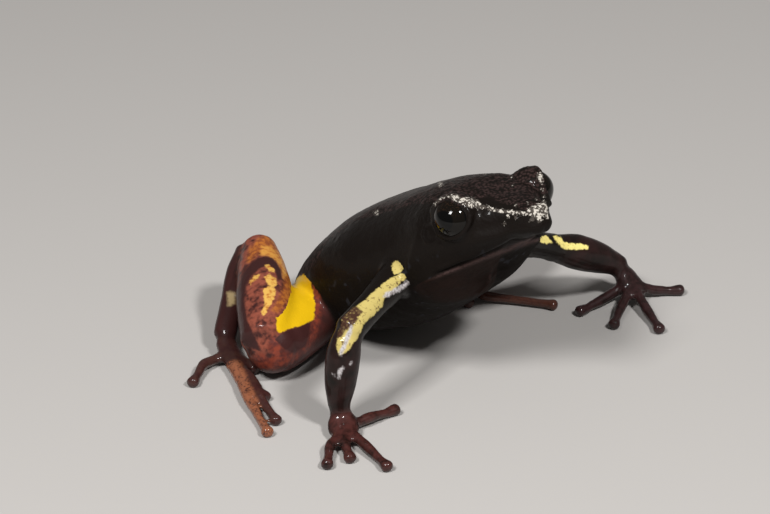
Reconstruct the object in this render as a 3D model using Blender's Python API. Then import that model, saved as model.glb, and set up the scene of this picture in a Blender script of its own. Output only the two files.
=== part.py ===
"""A small dark frog on four spread feet with its head raised, life size and parted into its limbs.

The frog faces -Y, its own left is +X and +Z is up. Sizes below are millimetres.
"""
import bpy
import bmesh
import math
import numpy as np

MM = 0.001
GAP = 0.3

SNOUT = (0.0, 0.0, 12.4)
HEAD_TURN, HEAD_PITCH, HEAD_ROLL = 3.8, 23.2, -0.8
BODY_TURN, BODY_PITCH, BODY_ROLL = 3.7, 27.4, 3.1
NECK = 7.6

EYE_RADIUS = 1.2
EYE_GAP = 0.15
EYE_BACK, EYE_SIDE, EYE_UP = 4.05, 2.53, 0.72
LID = 0.3
LID_OPEN = 0.45

MOUTH_FRONT, MOUTH_SLOPE, MOUTH_END = -0.70, 0.227, 5.9
MOUTH_HEIGHT, MOUTH_DEPTH = 0.1, 0.14
NOSTRIL_BACK, NOSTRIL_SIDE, NOSTRIL_UP, NOSTRIL_RADIUS = 0.75, 0.98, 0.12, 0.2
EAR_BACK, EAR_SIDE, EAR_UP, EAR_RADIUS = 5.75, 3.6, 0.0, 0.45

# distance behind the snout, half width, top, widest level, underside, squareness
TRUNK = [
    (0.00, 0.04, -0.10, -0.12, -0.14, 2.0),
    (0.06, 0.36, 0.28, -0.10, -0.50, 2.2),
    (0.22, 0.56, 0.46, -0.40, -0.90, 2.8),
    (0.50, 0.82, 0.60, -0.65, -1.20, 3.0),
    (0.95, 1.12, 0.76, -0.80, -1.38, 2.9),
    (1.70, 1.60, 0.98, -1.05, -1.56, 3.0),
    (2.70, 2.30, 1.30, -1.25, -1.78, 3.1),
    (3.90, 3.05, 1.76, -1.45, -2.12, 3.1),
    (5.20, 3.65, 2.14, -1.70, -2.65, 2.9),
    (6.50, 3.95, 2.22, -1.95, -3.40, 2.6),
    (7.60, 4.00, 2.24, -2.00, -4.15, 2.4),
    (9.20, 4.10, 2.20, -1.75, -4.50, 2.3),
    (11.2, 4.35, 2.06, -1.45, -4.95, 2.2),
    (13.6, 4.65, 1.94, -1.40, -5.25, 2.2),
    (16.0, 4.66, 1.58, -1.50, -5.15, 2.2),
    (18.0, 4.25, 1.00, -1.60, -4.70, 2.2),
    (20.0, 3.62, 0.25, -1.65, -4.05, 2.2),
    (21.6, 2.80, -0.46, -1.65, -3.30, 2.2),
    (22.8, 1.75, -1.02, -1.65, -2.55, 2.1),
    (23.3, 0.90, -1.30, -1.65, -2.10, 2.0),
    (23.45, 0.04, -1.62, -1.65, -1.68, 2.0),
]
BELLY_POWER = 2.2
CHIN_BACK, CHIN_LEVEL, CHIN_DEPTH, CHIN_REACH = 1.2, -0.5, 1.0, 6.5

# each limb row: centre x, y, z, half width across, half height
LIMBS = {
    "right_upper_arm": [(-1.9, 8.5, 7.3, 1.3, 1.3), (-3.6, 7.8, 6.95, 1.1, 1.1), (-6.0, 6.7, 6.5, 0.84, 0.86),
                        (-7.6, 6.0, 6.15, 0.78, 0.82), (-8.6, 5.6, 5.85, 0.82, 0.84)],
    "right_forearm": [(-8.85, 5.55, 5.45, 0.8, 0.8), (-9.15, 5.55, 4.3, 0.93, 0.95), (-9.3, 5.6, 2.9, 0.86, 0.88),
                      (-9.4, 5.62, 1.75, 0.66, 0.66), (-9.42, 5.6, 1.3, 0.56, 0.6)],
    "left_upper_arm": [(1.3, 9.0, 7.2, 1.5, 1.5), (2.9, 8.5, 6.8, 1.2, 1.3), (4.7, 8.6, 5.9, 0.92, 0.96),
                       (6.3, 8.9, 5.05, 0.76, 0.76), (7.4, 9.1, 4.45, 0.8, 0.8)],
    "left_forearm": [(7.7, 9.15, 4.3, 0.8, 0.8), (9.1, 9.3, 3.6, 1.0, 1.0), (10.5, 9.3, 2.85, 0.92, 0.92),
                     (11.5, 9.2, 2.25, 0.72, 0.72), (11.95, 9.05, 1.95, 0.6, 0.62)],
    "right_thigh": [(-0.9, 16.85, 2.0, 1.6, 1.2), (-3.6, 15.85, 1.68, 2.05, 1.46), (-6.3, 14.3, 1.76, 2.05, 1.66),
                    (-8.5, 13.0, 1.85, 1.8, 1.65), (-9.3, 12.5, 2.0, 1.5, 1.55)],
    "right_shank": [(-9.7, 12.5, 2.45, 1.35, 1.35), (-8.9, 13.6, 2.85, 1.55, 1.5), (-7.85, 15.35, 3.35, 1.6, 1.5),
                    (-6.65, 17.5, 3.8, 1.35, 1.2), (-5.85, 19.0, 4.15, 1.0, 1.0)],
    "right_tarsus": [(-6.1, 19.6, 3.8, 0.85, 0.85), (-7.3, 18.9, 3.1, 0.75, 0.78), (-8.4, 17.9, 2.15, 0.68, 0.72),
                     (-9.35, 17.0, 1.4, 0.66, 0.66), (-9.75, 16.6, 1.1, 0.66, 0.6)],
    "left_thigh": [(0.2, 17.6, 2.3, 1.4, 1.3), (2.6, 17.1, 2.6, 2.15, 1.9), (5.2, 15.7, 2.85, 2.05, 1.85),
                   (7.3, 14.4, 3.0, 1.75, 1.7), (8.1, 13.9, 3.1, 1.45, 1.5)],
    "left_shank": [(8.55, 14.3, 3.4, 1.3, 1.3), (8.0, 15.5, 3.35, 1.45, 1.45), (6.8, 17.4, 3.1, 1.45, 1.4),
                   (5.2, 19.6, 2.7, 1.15, 1.1), (3.9, 21.1, 2.4, 0.95, 0.95)],
    "left_tarsus": [(4.3, 21.7, 2.0, 0.85, 0.85), (5.6, 21.1, 1.6, 0.75, 0.75), (6.8, 20.0, 1.25, 0.7, 0.7),
                    (7.7, 18.8, 1.0, 0.66, 0.64), (7.95, 18.3, 0.95, 0.62, 0.6)],
}

# palms and soles: centre x, y, z, half width, half height; then each digit's tip and the bend before it
PALMS = {
    "right_hand": [(-9.42, 5.55, 1.1, 0.55, 0.5), (-9.5, 5.25, 0.75, 0.78, 0.5), (-9.75, 4.7, 0.5, 0.85, 0.42),
                   (-9.95, 4.2, 0.42, 0.7, 0.36)],
    "left_hand": [(12.0, 8.9, 1.7, 0.55, 0.5), (12.15, 8.65, 1.35, 0.75, 0.5), (12.3, 8.2, 0.85, 0.82, 0.42),
                  (12.25, 7.75, 0.6, 0.7, 0.38)],
    "right_foot": [(-9.95, 16.3, 0.85, 0.58, 0.55), (-10.1, 15.7, 0.6, 0.62, 0.45), (-10.3, 14.9, 0.48, 0.64, 0.38),
                   (-10.6, 14.0, 0.42, 0.58, 0.34)],
    "left_foot": [(8.0, 17.9, 0.75, 0.58, 0.55), (7.8, 17.4, 0.58, 0.62, 0.45), (7.3, 16.6, 0.48, 0.64, 0.38),
                  (6.8, 15.8, 0.42, 0.58, 0.34)],
}
DIGITS = {
    "right_hand": [[(-9.4, 4.95), (-7.9, 5.0), (-6.1, 5.15)], [(-9.6, 4.3), (-9.75, 2.6), (-9.9, 0.35)],
                   [(-9.95, 4.2), (-10.6, 3.3), (-11.0, 2.25)], [(-10.1, 4.5), (-11.3, 3.7), (-12.35, 2.4)]],
    "left_hand": [[(11.9, 8.5), (10.3, 8.5), (8.75, 8.4)], [(11.9, 7.9), (10.7, 7.15), (9.35, 6.0)],
                  [(12.2, 7.8), (11.7, 6.0), (11.1, 4.1)], [(12.6, 8.1), (13.5, 7.75), (14.9, 7.1)]],
    "right_foot": [[(-10.1, 15.2), (-9.95, 14.3), (-9.9, 13.4)], [(-10.4, 14.2), (-10.75, 12.4), (-11.05, 10.5)],
                   [(-10.6, 14.0), (-11.3, 11.0), (-12.0, 7.95)], [(-10.8, 14.0), (-12.0, 10.8), (-13.05, 7.15)],
                   [(-10.5, 15.6), (-12.0, 15.3), (-13.4, 14.2)]],
    "left_foot": [[(7.2, 16.9), (6.3, 16.2), (5.5, 15.6)], [(6.9, 16.0), (5.6, 14.9), (4.4, 14.1)],
                  [(6.7, 15.7), (5.2, 14.1), (4.2, 12.9)], [(6.75, 15.6), (5.25, 13.1), (8.0, 9.9)],
                  [(7.2, 16.4), (7.4, 15.6), (7.7, 14.9)]],
}
ROOT_HEIGHT = {"right_hand": 0.42, "left_hand": 0.85, "right_foot": 0.42, "left_foot": 0.42}
FINGER_RADIUS, TIP_RADIUS, TIP_HEIGHT = 0.27, 0.36, 0.3
KNUCKLE_RISE = 0.16

COLOURS = {
    "torso": (0.012, 0.010, 0.012), "head": (0.015, 0.012, 0.013), "eye": (0.004, 0.004, 0.005),
    "upper_arm": (0.30, 0.32, 0.06), "forearm": (0.055, 0.018, 0.014), "hand": (0.075, 0.022, 0.02),
    "thigh": (0.62, 0.30, 0.02), "shank": (0.36, 0.10, 0.02), "tarsus": (0.10, 0.04, 0.02),
    "foot": (0.16, 0.055, 0.02),
}


def frame(turn, pitch, roll):
    """Forward, left and up directions after a turn about +Z, a raise of the nose and a roll."""
    t, p, r = (math.radians(v) for v in (turn, pitch, roll))
    ahead = np.array([math.sin(t), -math.cos(t), 0.0])
    left = np.array([math.cos(t), math.sin(t), 0.0])
    up = np.array([0.0, 0.0, 1.0])
    forward = math.cos(p) * ahead + math.sin(p) * up
    upward = -math.sin(p) * ahead + math.cos(p) * up
    return forward, math.cos(r) * left + math.sin(r) * upward, -math.sin(r) * left + math.cos(r) * upward


HEAD = frame(HEAD_TURN, HEAD_PITCH, HEAD_ROLL)
BODY = frame(BODY_TURN, BODY_PITCH, BODY_ROLL)


def head_point(back, side, up):
    """World point from distances behind the snout, to the frog's left and above the snout's line."""
    return np.array(SNOUT) - back * HEAD[0] + side * HEAD[1] + up * HEAD[2]


def trunk_frame(s):
    """Centre and the three directions of the section a distance s behind the snout."""
    share = min(max((s - 5.0) / 5.2, 0.0), 1.0)
    share = share * share * (3 - 2 * share)
    nape = head_point(NECK, 0, 0)
    centre = head_point(s, 0, 0) if s <= NECK else nape - (s - NECK) * BODY[0]
    mix = [h * (1 - share) + b * share for h, b in zip(HEAD, BODY)]
    mix = [m / np.linalg.norm(m) for m in mix]
    return centre, mix


def smooth_rows(rows, steps):
    """Catmull-Rom curve through rows of numbers, with a given number of steps between them."""
    rows = np.array(rows, float)
    padded = np.vstack([2 * rows[0] - rows[1], rows, 2 * rows[-1] - rows[-2]])
    out = []
    for i in range(len(rows) - 1):
        a, b, c, d = padded[i:i + 4]
        for k in range(steps):
            t = k / steps
            out.append(0.5 * ((2 * b) + (c - a) * t + (2 * a - 5 * b + 4 * c - d) * t * t
                              + (3 * b - a - 3 * c + d) * t ** 3))
    out.append(rows[-1])
    return np.array(out)


def mesh_from_rings(name, rings):
    """Closed surface through equal rings of points, with flat ends."""
    rings = np.array(rings)
    count, sides = rings.shape[:2]
    faces = []
    for i in range(count - 1):
        for j in range(sides):
            k = (j + 1) % sides
            faces.append((i * sides + j, i * sides + k, (i + 1) * sides + k, (i + 1) * sides + j))
    points = rings.reshape(-1, 3).tolist()
    for ring, flip in ((0, True), (count - 1, False)):
        points.append(rings[ring].mean(axis=0).tolist())
        for j in range(sides):
            k = (j + 1) % sides
            a, b = ring * sides + j, ring * sides + k
            faces.append((b, a, len(points) - 1) if flip else (a, b, len(points) - 1))
    mesh = bpy.data.meshes.new(name)
    mesh.from_pydata([[v * MM for v in p] for p in points], [], faces)
    tool = bmesh.new()
    tool.from_mesh(mesh)
    bmesh.ops.recalc_face_normals(tool, faces=tool.faces)
    bmesh.ops.triangulate(tool, faces=tool.faces)
    tool.to_mesh(mesh)
    tool.free()
    return new_object(name, mesh)


def new_object(name, mesh):
    """Object in the frog's collection with smooth shading."""
    obj = bpy.data.objects.new(name, mesh)
    FROG.objects.link(obj)
    mesh.polygons.foreach_set("use_smooth", [True] * len(mesh.polygons))
    return obj


def chin_recess(s, height):
    """How far the lower part of the snout and jaw lies behind its section: more the lower it is, and
    fading to nothing before the neck."""
    share = np.clip((CHIN_LEVEL - height) / CHIN_DEPTH, 0, 1)
    return CHIN_BACK * share * share * (3 - 2 * share) * (1 - min(s / CHIN_REACH, 1) ** 2)


def trunk(name, start, end, sides, steps, grow=0.0):
    """Part of the head and body between two distances behind the snout."""
    table = smooth_rows(TRUNK, steps)
    keep = table[(table[:, 0] > start + 0.02) & (table[:, 0] < end - 0.02)]
    ends = []
    for s in (start, end):
        ends.append([np.interp(s, table[:, 0], table[:, c]) for c in range(6)])
    table = np.vstack([ends[0], keep, ends[1]])
    angles = np.linspace(0, 2 * math.pi, sides, endpoint=False)
    rings = []
    for s, wide, top, mid, bottom, power in table:
        centre, (forward, left, up) = trunk_frame(s)
        c, d = np.cos(angles), np.sin(angles)
        bend = 2 / np.where(d > 0, power, min(power, BELLY_POWER))
        across = (wide + grow) * np.sign(c) * np.abs(c) ** bend
        height = np.where(d > 0, top - mid + grow, mid - bottom + grow) * np.sign(d) * np.abs(d) ** bend
        height = mid + height
        ring = centre + across[:, None] * left + height[:, None] * up
        rings.append(ring - chin_recess(s, height)[:, None] * HEAD[0])
    return mesh_from_rings(name, rings)


def limb(name, rows, sides=14, steps=3, grow=0.0, round_start=0.35, round_end=0.8):
    """Tapering limb along a smooth path with rounded ends; grow swells it evenly for cutting a neighbour."""
    table = smooth_rows(rows, steps)
    centres, wide, high = table[:, :3], table[:, 3] + grow, table[:, 4] + grow
    along = np.gradient(centres, axis=0)
    along /= np.linalg.norm(along, axis=1)[:, None]
    angles = np.linspace(0, 2 * math.pi, sides, endpoint=False)
    rings = []

    def ring(centre, direction, a, b):
        side = np.cross(direction, (0.0, 0.0, 1.0))
        if np.linalg.norm(side) < 0.35:
            side = np.cross(direction, (0.0, 1.0, 0.0))
        side /= np.linalg.norm(side)
        up = np.cross(side, direction)
        return centre + a * np.cos(angles)[:, None] * side + b * np.sin(angles)[:, None] * up

    def cap(index, sign, depth):
        out = []
        for turn in (68, 34):
            reach = (depth * min(wide[index], high[index])) * math.sin(math.radians(turn))
            shrink = math.cos(math.radians(turn))
            place = centres[index] + sign * reach * along[index]
            out.append(ring(place, along[index], wide[index] * shrink, high[index] * shrink))
        return out

    rings += cap(0, -1, round_start)
    rings += [ring(c, t, a, b) for c, t, a, b in zip(centres, along, wide, high)]
    rings += cap(len(centres) - 1, 1, round_end)[::-1]
    return mesh_from_rings(name, rings)


def ball(name, centre, radii, axes=None, rings=12, sides=20):
    """Closed ellipsoid whose own axes are the given three directions, its poles along the second."""
    axes = axes if axes is not None else ((1, 0, 0), (0, 1, 0), (0, 0, 1))
    axes = [np.array(a, float) for a in axes]
    angles = np.linspace(0, 2 * math.pi, sides, endpoint=False)
    loops = []
    for tilt in np.linspace(-math.pi / 2, math.pi / 2, rings + 1)[1:-1]:
        ring = radii[0] * math.cos(tilt) * np.cos(angles)[:, None] * axes[0]
        ring = ring + radii[2] * math.cos(tilt) * np.sin(angles)[:, None] * axes[2]
        loops.append(np.array(centre) + ring + radii[1] * math.sin(tilt) * axes[1])
    first = np.repeat([np.array(centre) - radii[1] * 0.999 * axes[1]], sides, axis=0)
    last = np.repeat([np.array(centre) + radii[1] * 0.999 * axes[1]], sides, axis=0)
    near = 0.02
    loops = [first + near * (loops[0] - loops[0].mean(axis=0))] + loops
    loops = loops + [last + near * (loops[-1] - loops[-1].mean(axis=0))]
    return mesh_from_rings(name, loops)


def block(name, centre, half, axes):
    """Box with its own three axes."""
    corner = [(-1, -1), (1, -1), (1, 1), (-1, 1)]
    axes = [np.array(a, float) for a in axes]
    rings = []
    for z in (-1, 1):
        rings.append([np.array(centre) + x * half[0] * axes[0] + y * half[1] * axes[1] + z * half[2] * axes[2]
                      for x, y in corner])
    return mesh_from_rings(name, rings)


def apply_boolean(obj, operation, other, solver="MANIFOLD"):
    """Join or cut and remove the other solid."""
    mod = obj.modifiers.new("shape", "BOOLEAN")
    mod.operation = operation
    mod.object = other
    mod.solver = solver
    bpy.context.view_layer.update()
    cut = bpy.data.meshes.new_from_object(obj.evaluated_get(bpy.context.evaluated_depsgraph_get()))
    obj.modifiers.clear()
    old = obj.data
    name = old.name
    obj.data = cut
    bpy.data.meshes.remove(old)
    cut.name = name
    bpy.data.objects.remove(other, do_unlink=True)
    return obj


def cut(obj, other):
    return apply_boolean(obj, "DIFFERENCE", other)


def join(obj, other):
    return apply_boolean(obj, "UNION", other)


def keep_largest(obj):
    """Only the largest closed surface of the mesh stays, welded and triangulated."""
    tool = bmesh.new()
    tool.from_mesh(obj.data)
    bmesh.ops.remove_doubles(tool, verts=tool.verts, dist=0.0008 * MM)
    tool.verts.ensure_lookup_table()
    seen = set()
    groups = []
    for start in tool.verts:
        if start in seen:
            continue
        group, todo = [], [start]
        seen.add(start)
        while todo:
            vert = todo.pop()
            group.append(vert)
            for edge in vert.link_edges:
                other = edge.other_vert(vert)
                if other not in seen:
                    seen.add(other)
                    todo.append(other)
        groups.append(group)
    groups.sort(key=len, reverse=True)
    for group in groups[1:]:
        bmesh.ops.delete(tool, geom=group, context="VERTS")
    bmesh.ops.triangulate(tool, faces=tool.faces)
    tool.to_mesh(obj.data)
    tool.free()
    obj.data.polygons.foreach_set("use_smooth", [True] * len(obj.data.polygons))


def build_head():
    """Skull and jaws with sockets, lid rims, mouth line, nostrils and ear discs."""
    head = trunk("head", 0.0, NECK - GAP / 2, 40, 3)
    core = trunk("core", 0.0, NECK + 3, 32, 2, grow=-MOUTH_DEPTH)
    level = MOUTH_FRONT - MOUTH_SLOPE * MOUTH_END / 2
    slope = math.atan(MOUTH_SLOPE)
    forward = math.cos(slope) * HEAD[0] + math.sin(slope) * HEAD[2]
    upward = -math.sin(slope) * HEAD[0] + math.cos(slope) * HEAD[2]
    middle = head_point(MOUTH_END / 2 - 1.0, 0, level + MOUTH_SLOPE)
    blade = block("blade", middle, (6.0, MOUTH_END / 2 + 1.0, MOUTH_HEIGHT / 2), (HEAD[1], forward, upward))
    cut(blade, core)
    for side in (-1, 1):
        eye = head_point(EYE_BACK, side * EYE_SIDE, EYE_UP)
        outer = EYE_RADIUS + EYE_GAP + LID
        size = (outer * 1.06, outer, outer * 0.97)
        rim = ball("rim", eye, size, (HEAD[0], HEAD[1], HEAD[2]), 10, 20)
        far = eye + side * (LID_OPEN + 2.0) * HEAD[1]
        cut(rim, block("slice", far, (4.0, 2.0, 4.0), (HEAD[0], HEAD[1], HEAD[2])))
        join(head, rim)
    cut(head, blade)
    for side in (-1, 1):
        eye = head_point(EYE_BACK, side * EYE_SIDE, EYE_UP)
        socket = EYE_RADIUS + EYE_GAP
        cut(head, ball("socket", eye, (socket, socket, socket), (HEAD[0], HEAD[1], HEAD[2]), 10, 20))
        nostril = head_point(NOSTRIL_BACK, side * NOSTRIL_SIDE, NOSTRIL_UP)
        size = (NOSTRIL_RADIUS * 1.2, NOSTRIL_RADIUS * 1.3, NOSTRIL_RADIUS)
        cut(head, ball("nostril", nostril, size, (HEAD[0], HEAD[1], HEAD[2]), 5, 8))
        ear = head_point(EAR_BACK, side * EAR_SIDE, EAR_UP)
        groove = ball("groove", ear, (EAR_RADIUS, 0.6, EAR_RADIUS), (HEAD[0], HEAD[1], HEAD[2]), 5, 14)
        disc = ball("disc", ear, (EAR_RADIUS * 0.72, 1.2, EAR_RADIUS * 0.72), (HEAD[0], HEAD[1], HEAD[2]), 5, 14)
        cut(groove, disc)
        cut(head, groove)
    return head


def build_hand(name, sides_palm=12):
    """Palm or sole with its tapering digits, flat where the tips and palm rest on the floor."""
    obj = limb(name, PALMS[name], sides_palm, 1, round_start=0.3, round_end=0.7)
    for points in DIGITS[name]:
        root, bend, tip = (np.array(p) for p in points)
        lead = (tip - bend) / np.linalg.norm(tip - bend)
        neck = tip - 0.55 * lead
        rows = [(*root, ROOT_HEIGHT[name], 0.36, 0.34), (*bend, TIP_HEIGHT + KNUCKLE_RISE, FINGER_RADIUS, FINGER_RADIUS),
                (*neck, TIP_HEIGHT + 0.02, FINGER_RADIUS, FINGER_RADIUS), (*tip, TIP_HEIGHT, TIP_RADIUS, TIP_RADIUS)]
        digit = limb("digit", rows, 8, 2, round_start=0.5, round_end=0.8)
        join(obj, digit)
    centre = np.mean([p[:2] for d in DIGITS[name] for p in d], axis=0)
    cut(obj, block("floor", (*centre, -2.0), (12, 12, 2.0), ((1, 0, 0), (0, 1, 0), (0, 0, 1))))
    return obj


def finish(obj, colour):
    """Material of the node and its welded mesh."""
    keep_largest(obj)
    mat = bpy.data.materials.new(obj.name)
    mat.use_nodes = True
    shader = mat.node_tree.nodes["Principled BSDF"]
    shader.inputs["Base Color"].default_value = (*colour, 1)
    shader.inputs["Roughness"].default_value = 0.3
    mat.diffuse_color = (*colour, 1)
    obj.data.materials.clear()
    obj.data.materials.append(mat)


for old in list(bpy.data.objects):
    bpy.data.objects.remove(old, do_unlink=True)
FROG = bpy.data.collections.new("frog")
bpy.context.scene.collection.children.link(FROG)

head = build_head()
torso = trunk("torso", NECK + GAP / 2, TRUNK[-1][0], 40, 2)
eyes = {}
for side, label in ((-1, "right"), (1, "left")):
    centre = head_point(EYE_BACK, side * EYE_SIDE, EYE_UP)
    radii = (EYE_RADIUS,) * 3
    eyes[label] = ball(label + "_eye", centre, radii, (HEAD[0], HEAD[1], HEAD[2]), 12, 20)

parts = {"head": head, "torso": torso, "right_eye": eyes["right"], "left_eye": eyes["left"]}
for label in ("right", "left"):
    for piece in ("upper_arm", "forearm", "thigh", "shank", "tarsus"):
        name = label + "_" + piece
        parts[name] = limb(name, LIMBS[name], 16 if piece in ("thigh", "shank") else 14, 2)
    for piece in ("hand", "foot"):
        name = label + "_" + piece
        parts[name] = build_hand(name)

for label in ("right", "left"):
    for piece in ("upper_arm", "thigh", "shank"):
        cut(parts[label + "_" + piece], trunk("near", NECK - 2.5, TRUNK[-1][0], 40, 2, grow=GAP))
    for first, second in (("upper_arm", "forearm"), ("thigh", "shank"), ("shank", "tarsus")):
        name = label + "_" + first
        cut(parts[label + "_" + second], limb("near", LIMBS[name], 14, 2, grow=GAP))
    cut(parts[label + "_tarsus"], limb("near", LIMBS[label + "_thigh"], 14, 2, grow=GAP))
    cut(parts[label + "_hand"], limb("near", LIMBS[label + "_forearm"], 12, 2, grow=GAP))
    for piece in ("tarsus", "shank", "thigh"):
        cut(parts[label + "_foot"], limb("near", LIMBS[label + "_" + piece], 12, 2, grow=GAP))

for name, obj in parts.items():
    kind = name.replace("right_", "").replace("left_", "")
    finish(obj, COLOURS[kind])

corners = np.array([[v.co[:] for v in obj.data.vertices] for obj in parts.values()][0])
for obj in parts.values():
    spot = np.empty(len(obj.data.vertices) * 3)
    obj.data.vertices.foreach_get("co", spot)
    corners = np.vstack([corners, spot.reshape(-1, 3)])
low, high = corners.min(axis=0), corners.max(axis=0)
shift = np.array([-(low[0] + high[0]) / 2, -(low[1] + high[1]) / 2, -low[2]])
for obj in parts.values():
    spot = np.empty(len(obj.data.vertices) * 3)
    obj.data.vertices.foreach_get("co", spot)
    obj.data.vertices.foreach_set("co", (spot.reshape(-1, 3) + shift).ravel())
    obj.data.update()
print("frog box in mm", np.round((high - low) / MM, 3), "moved by", np.round(shift / MM, 4))
print("triangles", sum(len(o.data.polygons) for o in parts.values()))
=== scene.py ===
# %% [markdown]
# # A small dark frog, life size
#
# A mantella is a ground frog about as long as the last joint of a finger. It stands on spread fingers
# and toes, with its head raised and its hind legs folded. The measured solids are loaded first, and one
# skin and two eyes are then made round them.

# %% Load the solids
import bpy
import numpy as np
from mathutils import Matrix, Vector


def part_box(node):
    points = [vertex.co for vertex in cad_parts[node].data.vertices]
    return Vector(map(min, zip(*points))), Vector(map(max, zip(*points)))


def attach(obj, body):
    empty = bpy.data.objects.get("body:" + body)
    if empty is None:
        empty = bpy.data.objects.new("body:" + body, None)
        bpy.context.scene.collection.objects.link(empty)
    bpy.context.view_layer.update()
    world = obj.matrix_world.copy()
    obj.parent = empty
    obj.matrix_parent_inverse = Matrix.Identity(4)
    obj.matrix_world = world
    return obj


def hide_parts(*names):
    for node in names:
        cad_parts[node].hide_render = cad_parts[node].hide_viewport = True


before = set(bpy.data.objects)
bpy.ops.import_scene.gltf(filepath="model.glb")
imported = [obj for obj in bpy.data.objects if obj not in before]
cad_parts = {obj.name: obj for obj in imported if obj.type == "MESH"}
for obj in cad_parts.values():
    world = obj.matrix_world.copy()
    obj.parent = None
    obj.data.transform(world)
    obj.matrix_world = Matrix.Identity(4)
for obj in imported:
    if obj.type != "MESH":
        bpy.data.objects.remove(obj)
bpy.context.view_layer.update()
print("solids:", len(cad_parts))

# %% [markdown]
# ## Measures
#
# Every size is in millimetres, in the frog's own directions: it faces -Y, its left is +X and +Z is up.
# The head and body are a stack of rounded sections behind the snout, and each limb is a row of centres
# with half widths. These forms could be sculpted by hand, but from tables the skin lies on the solids.

# %% Measures of head and body
MM = 0.001
SNOUT = np.array((0.0, 0.0, 12.4))
NECK = 7.6
EYE_BACK, EYE_SIDE, EYE_UP = 4.12, 2.6, 0.76
EYE_RADIUS = 1.17
CAD_EYE = (4.05, -2.53, 0.72)
MOUTH_FRONT, MOUTH_SLOPE, MOUTH_END, MOUTH_DROP = -0.76, 0.227, 5.9, 0.4
NOSTRIL = (0.75, 1.04, 0.24)
EAR = (5.5, 3.5, 0.2)
# distance behind the snout, half width, top, widest level, underside, squareness
TRUNK = [
    (0, 0.04, -0.1, -0.12, -0.14, 2), (0.06, 0.36, 0.28, -0.1, -0.5, 2.2),
    (0.22, 0.56, 0.46, -0.4, -0.9, 2.8), (0.5, 0.82, 0.6, -0.65, -1.2, 3),
    (0.95, 1.12, 0.76, -0.8, -1.38, 2.9), (1.7, 1.6, 0.98, -1.05, -1.56, 3),
    (2.7, 2.3, 1.3, -1.25, -1.78, 3.1), (3.9, 3.05, 1.76, -1.45, -2.12, 3.1),
    (5.2, 3.65, 2.14, -1.7, -2.65, 2.9), (6.5, 3.95, 2.22, -1.95, -3.4, 2.6),
    (7.6, 4, 2.24, -2, -4.15, 2.4), (9.2, 4.1, 2.2, -1.75, -4.5, 2.3),
    (11.2, 4.35, 2.06, -1.45, -4.95, 2.2), (13.6, 4.65, 1.94, -1.4, -5.25, 2.2),
    (16, 4.66, 1.58, -1.5, -5.15, 2.2), (18, 4.25, 1, -1.6, -4.7, 2.2),
    (20, 3.62, 0.25, -1.65, -4.05, 2.2), (21.6, 2.8, -0.46, -1.65, -3.3, 2.2),
    (22.8, 1.75, -1.02, -1.65, -2.55, 2.1), (23.3, 0.9, -1.3, -1.65, -2.1, 2),
    (23.45, 0.04, -1.62, -1.65, -1.68, 2),
]
BELLY_POWER = 2.2
CHIN_BACK, CHIN_LEVEL, CHIN_DEPTH, CHIN_REACH = 1.2, -0.5, 1.0, 6.5


def directions(turn, pitch, roll):
    """Forward, left and up after a turn about +Z, a raise of the nose and a roll, in degrees."""
    t, p, r = np.radians((turn, pitch, roll))
    ahead = np.array([np.sin(t), -np.cos(t), 0.0])
    left = np.array([np.cos(t), np.sin(t), 0.0])
    forward = np.cos(p) * ahead + np.sin(p) * np.array([0, 0, 1.0])
    upward = -np.sin(p) * ahead + np.cos(p) * np.array([0, 0, 1.0])
    left, upward = np.cos(r) * left + np.sin(r) * upward, np.cos(r) * upward - np.sin(r) * left
    return np.array([forward, left, upward])


HEAD = directions(3.8, 23.2, -0.8)
BODY = directions(3.7, 27.4, 3.1)


def head_point(back, side, up):
    """Snout plus a way back, a way to the frog's left and a way up, in the head's directions."""
    return SNOUT - back * HEAD[0] + side * HEAD[1] + up * HEAD[2]


low, high = (np.array(c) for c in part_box("right_eye"))
SHIFT = (low + high) / 2 / MM - head_point(*CAD_EYE)
print("the tables stand", np.round(SHIFT, 3), "mm from the solids' origin")

# %% [markdown]
# ## Limbs
#
# A frog's arm is a thin tube with a muscle in the forearm, and its hind leg folds in three: thigh, shank
# and the long ankle. Four fingers and five toes end in small round pads.

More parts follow.
